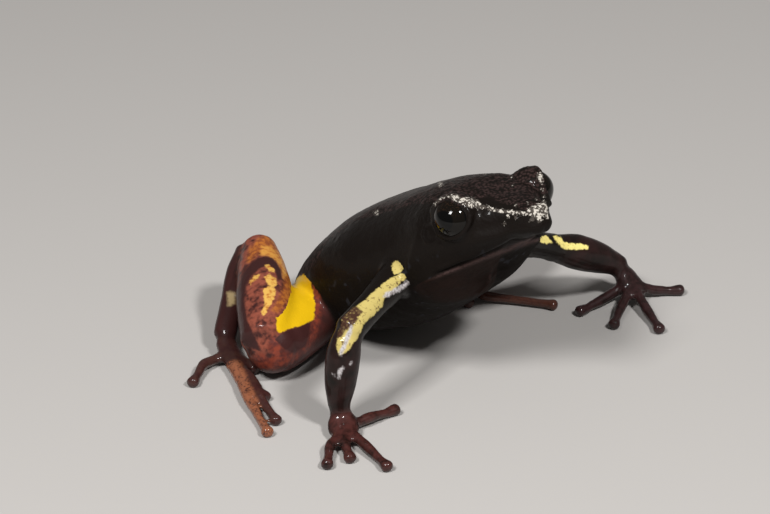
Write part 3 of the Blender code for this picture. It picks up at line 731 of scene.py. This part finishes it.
def in_picture(points):
    """Where points fall in the picture, in its pixels from the top left corner."""
    off = points - CAMERA_PLACE
    scale = PICTURE_WIDTH * LENS / SENSOR / -(off @ CAMERA_BACK)
    return np.stack([PICTURE_WIDTH / 2 + scale * (off @ CAMERA_RIGHT),
                     PICTURE_HEIGHT / 2 - scale * (off @ CAMERA_UP)], 1)


print("snout in the picture:", np.round(in_picture(SNOUT[None])[0], 1))

# %% [markdown]
# ## Marks on the skin
#
# The frog is black, with yellow-green patches on the arms, a bright yellow flash on the thigh, an orange
# and brown pattern on the shank and a pale speckled line over each eye to the snout, whose brightest
# specks are painted glints. Some marks paint light and shade too: pale highlights on the right arm, the
# brightest orange where the shank faces the lamps, and shade on the shank's left and lower side. Each mark
# is a number on the points of the skin: how far, in millimetres, the point lies inside the mark's edge.
# The material then draws an edge that is crisp close up, which a painted image would not give. The
# outlines are in picture pixels, laid onto the right side, and the left leg and lid repeat them in mirror
# image. What shows of the left arm and of the far lid has outlines of its own.

# %% Outlines of the marks
PIXELS_PER_MM = 18.6
MARKS = {
    "flash": [[(292, 281), (300, 276), (309, 271), (312, 288), (315, 303), (314, 319), (307, 324),
        (297, 327), (288, 329), (280, 333), (277, 331), (276, 312), (285, 298.5)]],
    "thigh_dark": [[(280, 335), (289, 330), (300, 327), (310, 321), (309, 333), (306, 345), (295, 353),
        (286, 350), (279, 344), (275, 339)]],
    # painted shade: this dark mark is the shank's brown band, and below and left of it shade painted where
    # the shank turns away from the light
    "shank_band_and_shade": [[(238, 286), (243, 273), (250, 264), (258, 257.5), (267, 256), (275, 260), (281, 270),
        (281.5, 279), (278, 281), (275, 270), (268, 266), (260, 268), (252, 275), (246, 286), (244, 300),
        (247, 320), (254, 335), (262, 352), (243, 345), (232, 320), (232, 300)]],
    "shank_yellow": [[(264, 265), (269, 264.5), (275, 269), (274, 272), (269, 271)], [(249, 282),
        (254, 276), (259, 274), (259, 278), (254, 281), (250, 285)], [(264, 277), (270, 274), (276, 279),
        (277, 285), (272, 287), (267, 283)], [(263, 288), (270, 286), (276, 290), (275, 297), (270, 306),
        (264, 316), (261, 313), (265, 304), (264, 296)]],
    "tarsus_cream": [[(227, 293), (231, 291.5), (234.5, 293), (235, 304), (228, 306)]],
    "shank_rim": [[(246, 262), (250, 248), (259, 238), (268, 233), (276, 238), (286, 250), (294, 266),
        (296, 284), (289, 299), (277, 314), (272, 310), (279, 297), (284, 284), (283, 268), (277, 259),
        (268, 253), (258, 254), (250, 262)]],
    # painted light: the brightest orange of the shank's rim, on the side that faces the lamps
    "shank_painted_light": [[(262, 246), (270, 247), (279, 254), (285, 264), (287, 274), (284, 280), (281, 270),
        (276, 261), (268, 256), (260, 255)]],
    "thigh_red": [[(311, 268), (318, 281), (321, 300), (320, 320), (315, 338), (306, 352), (292, 363),
        (274, 371), (258, 367), (252, 357), (260, 353), (270, 357), (284, 354), (296, 355), (306, 347),
        (311, 333), (313, 318), (314, 302), (311, 288), (307, 275)], [(270, 338), (276, 337), (281, 345),
        (280, 357), (272, 357), (268, 348)]],
    "arm_mottle": [[(356, 306), (348, 308), (340, 314), (337, 324), (335, 338), (341, 338), (345, 330),
        (352, 327), (357, 320), (362, 312)]],
    # painted highlights: the first two outlines of this mark are pale streaks for wet highlights on the right
    # arm, and the last three are small pale flecks below the elbow
    "arm_sheen_and_flecks": [[(411, 279.8), (407, 280.6), (399.6, 285.6), (391.4, 290.6), (385, 293), (383, 297),
        (389.4, 296.4), (397.6, 292.4), (405.7, 287.2), (411.6, 282)], [(351, 325), (353, 327),
        (349, 339), (344, 351), (341, 356), (338, 355), (342, 346), (346, 335)], [(338, 369.5),
        (343, 366), (344.5, 367), (341, 374), (340.5, 379), (338, 378)], [(349.5, 362), (352, 362),
        (352, 365), (349.5, 365)], [(331.5, 374), (335, 374), (335, 377)]],
    "pale": [[(432.5, 206.5), (434.5, 203), (441, 197.6), (446, 195), (452, 194), (458, 195), (464, 197),
        (472, 197.3), (478, 199.5), (481, 203.5), (486, 205.3), (492, 207), (500, 209), (510, 209.8),
        (520, 211), (526, 211.3), (528, 208), (532, 205), (537, 203.8), (542, 203.5), (543.5, 208),
        (543, 214), (541.5, 221), (539, 222.8), (536, 220.5), (534, 216.5), (528, 216), (520, 215),
        (512, 214.2), (502, 213.5), (492, 211.2), (485, 209), (480.5, 209), (474, 208), (468, 207.8),
        (463, 205.5), (460, 202), (455, 203), (451, 199), (447, 197), (442, 199), (436, 204.5),
        (433.5, 208)]],
    "far_pale": [[(534, 173), (538, 171.5), (542.5, 174), (543.5, 180), (542, 184.5), (538.5, 183),
        (535, 179)]],
    "green": [[(391, 266), (395, 260.5), (401, 262), (404, 268), (400, 273), (394, 275)], [(402, 273),
        (393, 277), (385, 282), (374, 291.5), (360, 304), (351, 309), (343, 316), (339, 330), (336, 346),
        (339, 356), (349, 350.5), (360, 334), (363, 325), (374, 315), (382.5, 306), (384, 298),
        (397, 287), (408, 276)]],
    "far_green": [[(536.5, 240.5), (541, 237.3), (545.6, 235), (549, 238), (552.5, 242.5), (546, 243.5)],
        [(552.5, 236), (557, 235.5), (561, 238), (564.5, 242.5), (571, 243.5), (580, 243.5), (588.5, 246),
        (588, 249), (576, 249.8), (564, 249.3), (559.5, 245), (555, 240.5)]],
}
# flecks round the pale line: pale pigment, with their brightest specks painted as glints
FLECKS = [(440.5, 184.2, 2.0), (376, 212.5, 2.2), (504.5, 223.5, 1.0), (485, 173.5, 0.8), (511.5, 177, 0.7),
          (513, 185.5, 0.5), (516.5, 205.7, 0.9), (508, 216, 1.5), (515.5, 217.5, 1.3), (532, 219.3, 2.2),
          (544.5, 201.5, 1.6), (543.5, 196, 1.0), (542.4, 190, 0.8), (536, 199, 0.7), (528, 203, 0.7)]
print("outlines:", sum(len(rows) for rows in MARKS.values()), "flecks:", len(FLECKS))

# %% How far inside an outline


def inside(points, outline):
    """Signed distance to a closed outline, more than 0 inside: the nearest edge's distance, with the sign
    from how many edges a ray to the right crosses."""
    corner = np.array(outline, float)
    odd = np.zeros(len(points), bool)
    for a, b in zip(corner, np.roll(corner, -1, 0)):
        cross = (a[1] > points[:, 1]) != (b[1] > points[:, 1])
        slope = (b[0] - a[0]) / (b[1] - a[1]) if b[1] != a[1] else 0.0
        odd ^= cross & (points[:, 0] < a[0] + (points[:, 1] - a[1]) * slope)
    edge = line_distance(points, [*corner, corner[0]])
    return np.where(odd, edge, -edge)


def depth_in(name, places):
    """Distance in mm inside a mark's nearest outline, for places in the picture."""
    return np.max([inside(places, outline) for outline in MARKS[name]], axis=0) / PIXELS_PER_MM


print("middle of the flash:", np.round(depth_in("flash", np.array([[296.0, 305.0]]))[0], 2), "mm inside")

# %% Left legs laid onto right ones


def limb_path(name):
    """Rows along a limb with the directions along it, to its side and up."""
    table = smooth_rows(LIMBS[name], 4)
    way = unit(np.gradient(table[:, :3], axis=0))
    side = unit(np.cross(way, (0, 0, 1.0)))
    return table, way, side, np.cross(side, way)


def mirrored(points, name):
    """Points of a left limb laid onto the right one, which has as many rows: same place along the path,
    same height and the same way out from the body, in the right limb's own directions and widths."""
    table, *axes = limb_path("left_" + name)
    k = ((points[:, None] - table[None, :, :3]) ** 2).sum(2).argmin(1)
    along, out, high = (((points - table[k, :3]) * axis[k]).sum(1)[:, None] for axis in axes)
    goal, way, side, up = limb_path("right_" + name)
    out, high = out / table[k, 3, None] * goal[k, 3, None], high / table[k, 4, None] * goal[k, 4, None]
    return goal[k, :3] + along * way[k] - out * side[k] + high * up[k]


gaps = limb_gaps(final)
print("points on the left shank:", int((gaps["left_shank"] < 0.35).sum()))

# %% Marks as numbers on the skin
pixel, facing = in_picture(final), final_normal @ CAMERA_BACK


def mark(name, limbs, sides=("right_", "left_"), read_on="right_"):
    """Distance in mm inside a mark, on the given limbs. It fades where the skin turns away from the
    camera, and a limb on the other side than the one it was read on gets it in mirror image."""
    best = np.full(len(final), -9.0)
    for side in sides:
        nearest = np.min([gaps[side + limb] for limb in limbs], axis=0)
        for limb in limbs:
            own = (nearest < 0.35) & (gaps[side + limb] <= nearest + 1e-6)
            if side == read_on:
                depth = depth_in(name, pixel[own]) - 1.2 * ramp(-facing[own], 0.0, 0.7)
            else:
                depth = depth_in(name, in_picture(mirrored(final[own], limb)))
            best[own] = np.maximum(best[own], depth)
    return best


LEG_MARKS = {"flash": "thigh", "thigh_dark": "thigh", "shank_band_and_shade": "shank", "shank_yellow": "shank",
             "tarsus_cream": "tarsus", "shank_rim": "shank", "shank_painted_light": "shank", "thigh_red": "thigh"}
ARMS = ["upper_arm", "forearm"]
marks = {name: mark(name, [limb]) for name, limb in LEG_MARKS.items()}
marks.update({name: mark(name, ARMS, ["right_"]) for name in ("green", "arm_mottle", "arm_sheen_and_flecks")})
marks["green"] = np.maximum(marks["green"], mark("far_green", ARMS, ["left_"], "left_"))
print({name: int((depth > 0).sum()) for name, depth in marks.items()})

# %% [markdown]
# ## Where the colours lie
#
# The back is brownish and grainy, the flanks and belly are wet black with faint blue-grey spots, the
# throat is duller, and arms and legs run from black through dark red-brown to orange. These broad zones
# come from the same measures that shaped the frog, so they follow its forms on every side. A lighter line
# along the jaw's edge and the throat's fold is a painted highlight, and the duller throat stops short of
# the chin's front and the throat's left part, which keep the black as painted shade.

# %% The pale line of the head
behind, aside, above = trunk_measures(final)
back, out, up, hand = head_measures(final)
trunk_share = ramp(np.min(list(gaps.values()), axis=0), 0.0, 0.3)
# the pale line is read on the right side and mirrored to the left, where the picture shows only its front
turned = final_normal - np.where(aside > 0, 2 * final_normal @ HEAD[1], 0)[:, None] * HEAD[1]
pale = depth_in("pale", in_picture(head_place(back, out, up, -1)))
pale = pale - 1.2 * ramp(-(turned @ CAMERA_BACK), -0.05, 0.5)
pale = pale - 0.5 * ramp(back, 0.3, 1.8) * ((aside > 0) & (facing > 0.05))
pale = np.where((trunk_share > 0.2) & (back < 9), pale, -9.0)
far = depth_in("far_pale", pixel) - 0.1 * ramp(540.5 - pixel[:, 0], 0, 5)
far = np.where((aside > 0) & (back < 6) & (facing > 0), far, -9.0)
pale = np.maximum(pale, far)
for x, y, radius in FLECKS:
    spot = (radius - np.hypot(pixel[:, 0] - x, pixel[:, 1] - y)) / PIXELS_PER_MM
    pale = np.maximum(pale, np.where((trunk_share > 0.5) & (facing > 0.02), spot + 0.03, -9.0))
print("points on the pale line:", int((pale > 0).sum()))

# %% Broad zones of the body
# distance behind the snout, and how far above the middle line the brown of the back begins there
BACK_EDGE = np.array([(0.2, 0.3), (0.6, 0.5), (1.3, 0.75), (2.2, 1.05), (3.0, 1.4), (4.5, 1.58), (8.6, 1.7),
                      (10.6, 1.6), (13.7, 1.52), (14.6, 1.2), (15.6, 0.9), (16.2, 0.0), (20.0, -1.5)])


def share_of(name):
    """1 on the limb piece of this name on both sides, fading over a third of a millimetre."""
    near = np.minimum(gaps["right_" + name], gaps["left_" + name])
    others = [gaps[n] for n in LIMBS if n.split("_", 1)[1] != name]
    return ramp(np.min(others, axis=0) - near, -0.3, 0.3) * (1 - trunk_share)


below_mouth = mouth_level(back) - up
handed = np.stack([back, out * hand, up], 1)
left_of_hollow = out * hand - np.interp(back, *np.array(THROAT_HOLLOW).T[:2])
# painted highlights: a lighter line along the edge of the lower jaw and along the throat's fold, where these
# edges catch the light
jaw_highlight_line = bell(below_mouth - 0.15, 0.09) * ramp(back, 0.5, 1.0) * ramp(6.2 - back, 0, 1.0)
fold_highlight_line = 0.9 * bell(line_distance(handed, THROAT_FOLD), 0.14) * ramp(7.2 - back, 0, 1.5)
zones = {
    "back": np.maximum(ramp(above - np.interp(behind, *BACK_EDGE.T), -0.16, 0.16),
                       ramp(up, 0.4, 0.7) * (aside > 0) * (back < 5) * ramp(facing, 0, 0.15)) * trunk_share,
    "lip": np.maximum(jaw_highlight_line, fold_highlight_line) * trunk_share,
    # painted shade: the throat's duller colour stops at its hollow, so the chin's front and the throat's left
    # part keep the black
    "throat": (ramp(below_mouth, 0, 0.16) * ramp(9.5 - behind, 0, 3.0) * trunk_share
               * ramp(-left_of_hollow, -0.1, 0.4)),
    "under": ramp(-0.6 - above, 0, 1.2) * trunk_share, "flank": ramp(1.2 - above, 0, 1.0) * trunk_share,
    "long_toe": np.max([amount * ramp(-outside_limb(final, digit_rows(n, DIGITS[n][3])), -0.25, -0.05)
                        for n, amount in (("right_foot", 1.0), ("left_foot", 0.15))], axis=0),
    "pale": pale, "left": ramp(aside, 1.0, 2.5), **marks,
    **{name: share_of(name) for name in ("forearm", "hand", "foot", "thigh", "shank", "tarsus")},
}


def store(mesh, name, values):
    """Keeps one number at each point of a mesh, for its material to read."""
    mesh.attributes.new(name, "FLOAT", "POINT").data.foreach_set("value", values.astype(np.float32))


for name, values in zones.items():
    store(frog.data, name, values)
print("marks and zones:", ", ".join(zones))

# %% [markdown]
# ## A short way to write materials
#
# A Blender material is a net of small boxes. Written out box by box it is long, so one class holds a
# wire, and sums and products of wires add the boxes that work them out.

# %% Wires


class Wire:
    """A number or colour on its way through a material."""

    def __init__(self, recipe, socket):
        self.recipe, self.socket = recipe, socket

    def worked(self, operation, first, second):
        return self.recipe.box("ShaderNodeMath", {"operation": operation}, {0: first, 1: second})

    __add__ = __radd__ = lambda self, other: self.worked("ADD", self, other)
    __mul__ = __rmul__ = lambda self, other: self.worked("MULTIPLY", self, other)
    __sub__ = lambda self, other: self.worked("SUBTRACT", self, other)
    __rsub__ = lambda self, other: self.worked("SUBTRACT", other, self)


# %% Recipes for materials


class Recipe:
    """A new material with its own Principled shader."""

    def __init__(self, name):
        self.material = bpy.data.materials.new(name)
        self.material.use_nodes = True
        self.tree = self.material.node_tree
        self.shader = self.tree.nodes["Principled BSDF"]
        coords = self.box("ShaderNodeTexCoord", {}, {}, "Object")
        self.place = self.box("ShaderNodeVectorMath", {"operation": "SCALE"}, {0: coords, "Scale": 1 / MM})

    def box(self, kind, settings, inputs, output=0):
        """Any node from its type, its settings, and the values or wires of its inputs."""
        node = self.tree.nodes.new(kind)
        for key, value in settings.items():
            setattr(node, key, value)
        for key, value in inputs.items():
            self.put(node.inputs[key], value)
        return Wire(self, node.outputs[output])

    def put(self, socket, value):
        """Links a wire to a socket, or sets the socket's own value."""
        if isinstance(value, Wire):
            self.tree.links.new(value.socket, socket)
        else:
            socket.default_value = (*value, 1) if isinstance(value, tuple) else value

    def shade(self, inputs):
        """Feeds the shader's inputs by their names and returns the material."""
        for name, value in inputs.items():
            self.put(self.shader.inputs[name], value)
        return self.material

    def noise(self, size, detail=2.0):
        """Cloudy noise from 0 to 1 whose spots are about size millimetres wide."""
        inputs = {"Vector": self.place, "Scale": 1 / size, "Detail": detail}
        return self.box("ShaderNodeTexNoise", {}, inputs, "Fac")

    def beads(self, size):
        """0 in the middle of each bead, growing to its edge."""
        return self.box("ShaderNodeTexVoronoi", {}, {"Vector": self.place, "Scale": 1 / size}, "Distance")

    def zone(self, name):
        return self.box("ShaderNodeAttribute", {"attribute_name": name}, {}, "Fac")

    def between(self, value, low, high):
        """0 below low, 1 above high, smooth between."""
        return self.box("ShaderNodeMapRange", {"interpolation_type": "SMOOTHSTEP"},
                        {"Value": value, "From Min": low, "From Max": high})

    def mix(self, share, first, second):
        """First colour where the share is 0 and second where it is 1."""
        return self.box("ShaderNodeMix", {"data_type": "RGBA"}, {0: share, 6: first, 7: second}, 2)


# %% [markdown]
# ## Wet black skin
#
# Frog skin is moist: a clear film over dark pigment gives small sharp highlights. The pigment is nearly
# black with a trace of brown on the back. Each mark has a slightly ragged edge, as pigment cells give,
# and flecks of pale pigment lie along the line over the eye, their brightest specks painted as glints.
# Some marks paint light and shade as well: highlights on the right arm, the jaw's edge and the throat's
# fold, a brighter orange where the shank faces the lamps, a brighter yellow on the shaded left arm, shade
# on the shank's left and lower side, and black kept as shade on the chin's front.

# %% Colours of the skin
BLACK, BROWN_BACK, THROAT = (0.006, 0.004, 0.003), (0.038, 0.022, 0.020), (0.016, 0.008, 0.006)
# the band brown also paints the shade on the shank's left and lower side
# the lip colour is a painted highlight for the jaw's edge and the throat's fold
JAW_AND_FOLD_HIGHLIGHT, BLUE_GREY, BAND_AND_SHADE_BROWN = (0.075, 0.045, 0.042), (0.035, 0.036, 0.045), (0.040, 0.013, 0.012)
DARK_RED, BRICK, HAND_RED = (0.026, 0.011, 0.010), (0.085, 0.022, 0.018), (0.06, 0.018, 0.015)
# the far yellow is the arms' yellow made brighter to make up for the shade on the left arm: painted light
FAR_HAND, FAR_YELLOW_PAINTED_LIGHT = (0.032, 0.013, 0.013), (0.95, 0.80, 0.26)
FOOT_BROWN, TOE_ORANGE, SHANK_RED = (0.052, 0.021, 0.016), (0.25, 0.088, 0.042), (0.24, 0.065, 0.040)
# the last colour here is the brighter orange painted where the shank faces the lamps
RIM_RED, RIM_ORANGE, PAINTED_LIGHT_ORANGE = (0.22, 0.06, 0.02), (0.40, 0.13, 0.025), (0.56, 0.26, 0.05)
GOLD, THIGH_DARK, THIGH_RED = (0.62, 0.36, 0.08), (0.045, 0.017, 0.015), (0.20, 0.040, 0.022)
YELLOW, GREEN_YELLOW, GREEN_SHADE = (0.66, 0.40, 0.006), (0.50, 0.40, 0.13), (0.11, 0.065, 0.03)
CREAM, PALE, PALE_SHADE = (0.38, 0.28, 0.14), (0.52, 0.48, 0.42), (0.06, 0.05, 0.042)
# the pale and grey arm colours paint the highlights on the right arm and its small pale flecks
ARM_SHADE, ARM_SHEEN_PALE, ARM_SHEEN_GREY = (0.05, 0.022, 0.014), (0.50, 0.47, 0.47), (0.26, 0.23, 0.22)


# a mark, how soft its edge is, its colour, and a second colour in patches of noise between two levels
STAINS = [("shank_rim", 0.14, RIM_RED, RIM_ORANGE, 0.35, 0.65),
          # the brightest shank orange is painted light on the side of the shank that faces the lamps
          # the dark shank brown is a real band plus painted shade on the shank's left and lower side
          ("shank_painted_light", 0.12, RIM_ORANGE, PAINTED_LIGHT_ORANGE, 0.2, 0.6), ("shank_band_and_shade", 0.07, BAND_AND_SHADE_BROWN),
          ("shank_yellow", 0.05, RIM_ORANGE, GOLD, 0.3, 0.55),
          ("thigh_red", 0.16, BRICK, THIGH_RED, 0.3, 0.7), ("flash", 0.05, YELLOW),
          ("thigh_dark", 0.05, BAND_AND_SHADE_BROWN), ("tarsus_cream", 0.12, CREAM)]


print("marks with an edge of their own:", len(STAINS))

# %% The skin's material


def skin_recipe():
    """Pigment from broad zones to small marks, some of which paint highlights and shade, then the film of
    water over it.
    """
    r = Recipe("wet_skin")
    zone, between, mix = r.zone, r.between, r.mix
    cloud, small, speck, bead = r.noise(0.9), r.noise(0.28), r.noise(0.11, 3.0), r.beads(0.17)
    wobble = (small - 0.5) * 0.16 + (speck - 0.5) * 0.10
    brown = mix(between(bead + small, 0.6, 1.2), BROWN_BACK, BLACK)
    tone = mix(between(zone("back") + wobble, 0.35, 0.65), BLACK, brown)
    throat = between(zone("throat") + wobble * 2.0, 0.3, 0.8)
    tone = mix(throat * between(cloud + speck, 0.3, 1.1), tone, THROAT)
    # painted highlights along the jaw's edge and the throat's fold
    tone = mix(zone("lip") * between(small + speck, 0.6, 1.1), tone, JAW_AND_FOLD_HIGHLIGHT)
    spots = between(r.noise(0.55, 1.0), 0.62, 0.72)
    tone = mix(zone("under") * spots * (1 - throat) * 0.5, tone, BLUE_GREY)
    tone = mix(zone("forearm") * between(cloud, 0.2, 0.8), tone, DARK_RED)
    hand = mix(zone("left"), HAND_RED, FAR_HAND)
    tone = mix(zone("hand") * between(cloud + small, 0.5, 1.2), tone, hand)
    tone = mix(zone("foot"), tone, mix(between(cloud + small, 0.7, 1.3), FOOT_BROWN, BAND_AND_SHADE_BROWN))
    tone = mix(zone("long_toe") * between(small + speck, 0.7, 1.1), tone, TOE_ORANGE)
    tone = mix(zone("tarsus") * 0.9, tone, BAND_AND_SHADE_BROWN)
    tone = mix(zone("thigh"), tone, mix(between(cloud, 0.3, 0.7), THIGH_DARK, BRICK))
    tone = mix(zone("shank"), tone, mix(between(cloud + small, 0.7, 1.2), BAND_AND_SHADE_BROWN, SHANK_RED))
    for name, soft, colour, *patches in STAINS:
        if patches:
            colour = mix(between(small, *patches[1:]), colour, patches[0])
        tone = mix(between(zone(name) + wobble, -soft, soft), tone, colour)
    worn = between(zone("arm_mottle") + wobble, -0.1, 0.1)
    mottle = mix(between(small + speck * 0.8 - worn * 0.3, 0.6, 0.86), GREEN_SHADE, GREEN_YELLOW)
    mottle = mix(worn * between(speck + bead, 0.8, 1.05), mottle, ARM_SHADE)
    # painted light: the left arm's yellow is made lighter so that it looks lit, though it lies in shade
    bright = zone("left") * between(small + speck * 0.8, 0.5, 1.0)
    tone = mix(between(zone("green") + wobble, -0.05, 0.05), tone, mix(bright, mottle, FAR_YELLOW_PAINTED_LIGHT))
    # painted highlights on the right arm, and its small pale flecks
    sheen_and_fleck_colour = mix(between(speck + (small - 0.5) * 0.5, 0.3, 0.65), ARM_SHEEN_GREY, ARM_SHEEN_PALE)
    tone = mix(between(zone("arm_sheen_and_flecks") + wobble, -0.08, 0.08), tone, sheen_and_fleck_colour)
    # the pale line over the eye and its flecks are pale pigment, and the brightest specks on their beads are
    # painted glints
    depth = r.box("ShaderNodeMath", {"operation": "MINIMUM"}, {0: zone("pale"), 1: 0.12})
    line = between(depth + (speck - 0.5) * 0.3 + (small - 0.5) * 0.15, -0.03, 0.06)
    bright = between(depth * 1.5 + (0.5 - bead) * 1.2 + (speck - 0.5) * 2.0, 0.1, 0.34)
    tone = mix(line, tone, mix(bright, PALE_SHADE, PALE))
    rough = (between(small, 0.2, 0.9) * 0.12 + 0.42
             + zone("under") * 0.25 + zone("flank") * 0.1 + zone("back") * 0.1)
    wet = 0.27 - zone("flank") * 0.2 - zone("under") * 0.08 - throat * 0.18 - zone("back") * 0.1
    wet = wet + (zone("hand") + zone("foot")) * 0.35
    height = r.beads(0.14) * -0.6 + r.noise(0.06) * 0.5
    bump = r.box("ShaderNodeBump", {}, {"Strength": 0.55, "Distance": 0.00002, "Height": height})
    return r.shade({"Base Color": tone, "Roughness": rough, "Specular IOR Level": 0.08, "Coat Weight": wet,
                    "Coat Roughness": 0.07, "Normal": bump})


# %% Dress the skin
frog.data.materials.append(skin_recipe())
flesh = [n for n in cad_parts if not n.endswith("_eye")]
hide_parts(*flesh)
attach(frog, "root")
print("skin stands for", len(flesh), "solids")

# %% [markdown]
# ## Eyes
#
# A mantella's eye looks black from a distance. The pupil, an oval that is made round here because it
# hardly shows, lies in a very dark brown iris with a few coppery flecks above it, behind a clear bulging
# cornea. A ball with a gentle bulge in front of the iris gives the right highlight.

# %% Shape of an eyeball
BULGE = 0.05


def eyeball(name, side):
    """Ball whose radius grows a little towards its front pole: r (1 + bulge * cos(angle)^8)."""
    steps, sides = 64, 96
    tilt = np.linspace(0, np.pi, steps + 1)[1:-1, None]
    angle = np.linspace(0, 2 * np.pi, sides, endpoint=False)[None]
    axis = np.array([np.sin(np.radians(OPEN_TURN)), side * np.cos(np.radians(OPEN_TURN)), 0.06])
    axis = axis @ HEAD / np.linalg.norm(axis)
    first = unit(np.cross(axis, HEAD[2]))
    second = np.cross(axis, first)
    reach = EYE_RADIUS * (1 + BULGE * np.maximum(np.cos(tilt), 0) ** 8)[..., None]
    rings = reach * (np.cos(tilt)[..., None] * axis + np.sin(tilt)[..., None]
                     * (np.cos(angle)[..., None] * first + np.sin(angle)[..., None] * second))
    points, faces = shell(rings)
    points[-2] = axis * EYE_RADIUS * (1 + BULGE)
    points[-1] = -axis * EYE_RADIUS
    ball = add_mesh(name, (points + eyes[side] + SHIFT) * MM, faces)
    store(ball.data, "from_pupil", np.degrees(np.arccos(np.clip(unit(points) @ axis, -1, 1))))
    store(ball.data, "upward", points @ HEAD[2] / EYE_RADIUS)
    return ball


# %% Gloss and iris of the eye
r = Recipe("eye_gloss")
fleck = r.between(r.noise(0.08, 3.0), 0.5, 0.66) * r.between(r.zone("upward"), -0.1, 0.7)
iris = r.mix(fleck, (0.005, 0.004, 0.003), (0.022, 0.011, 0.006))
ring = r.between(r.zone("from_pupil"), 26.0, 30.0) * (1 - r.between(r.zone("from_pupil"), 58.0, 64.0))
eye_gloss = r.shade({"Base Color": r.mix(ring, (0.002, 0.002, 0.002), iris), "Roughness": 0.07,
                     "Specular IOR Level": 0.1, "Coat Weight": 0.25, "Coat Roughness": 0.02})
print("eye material:", eye_gloss.name)

# %% Two eyeballs
for name, side in (("right_eye", -1), ("left_eye", 1)):
    ball = eyeball("frog_" + name, side)
    ball.data.materials.append(eye_gloss)
    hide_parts(name)
    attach(ball, "root")
    print(ball.name, len(ball.data.polygons), "faces")

# %% [markdown]
# ## Floor and light
#
# The model stands on a plain pale floor. Two small lamps higher than the camera, one on each side of it,
# give the short wet highlights and the light on the eye. A pale surround fills the shadows, as in a small
# studio tent.

# %% The floor
FLOOR_SIZE = 3.0
half = FLOOR_SIZE / 2
corners = np.array([(-half, -half, 0), (half, -half, 0), (half, half, 0), (-half, half, 0)], float)
floor = add_mesh("floor", corners, [(0, 1, 2, 3)])
paint = Recipe("pale_floor").shade({"Base Color": (0.44, 0.42, 0.40), "Roughness": 0.8})
floor.data.materials.append(paint)
print("floor:", FLOOR_SIZE, "m wide")

# %% Lamps and surround
SURROUND, SURROUND_POWER = (0.92, 0.90, 0.88, 1), 0.13


def lamp(name, toward, distance, size, power):
    """Square lamp at a distance from the frog's middle, facing it; lengths in mm."""
    data = bpy.data.lights.new(name, "AREA")
    data.size, data.energy = size * MM, power
    back = unit(np.array(toward))
    side = unit(np.cross((0, 0, 1.0), back))
    stand(add_object(name, data), side, np.cross(back, side), back, np.array([0, 0, 6.0]) + distance * back)


lamp("right_lamp", (0.02, -0.65, 0.745), 260, 30, 0.5)
lamp("top_lamp", (-0.586, -0.259, 0.768), 220, 48, 0.4)
world = bpy.data.worlds.new("surround")
bpy.context.scene.world = world
world.use_nodes = True
colour, strength = world.node_tree.nodes["Background"].inputs[:2]
colour.default_value, strength.default_value = SURROUND, SURROUND_POWER
bpy.context.scene.view_settings.view_transform = "Standard"
print("lamps:", len(bpy.data.lights))
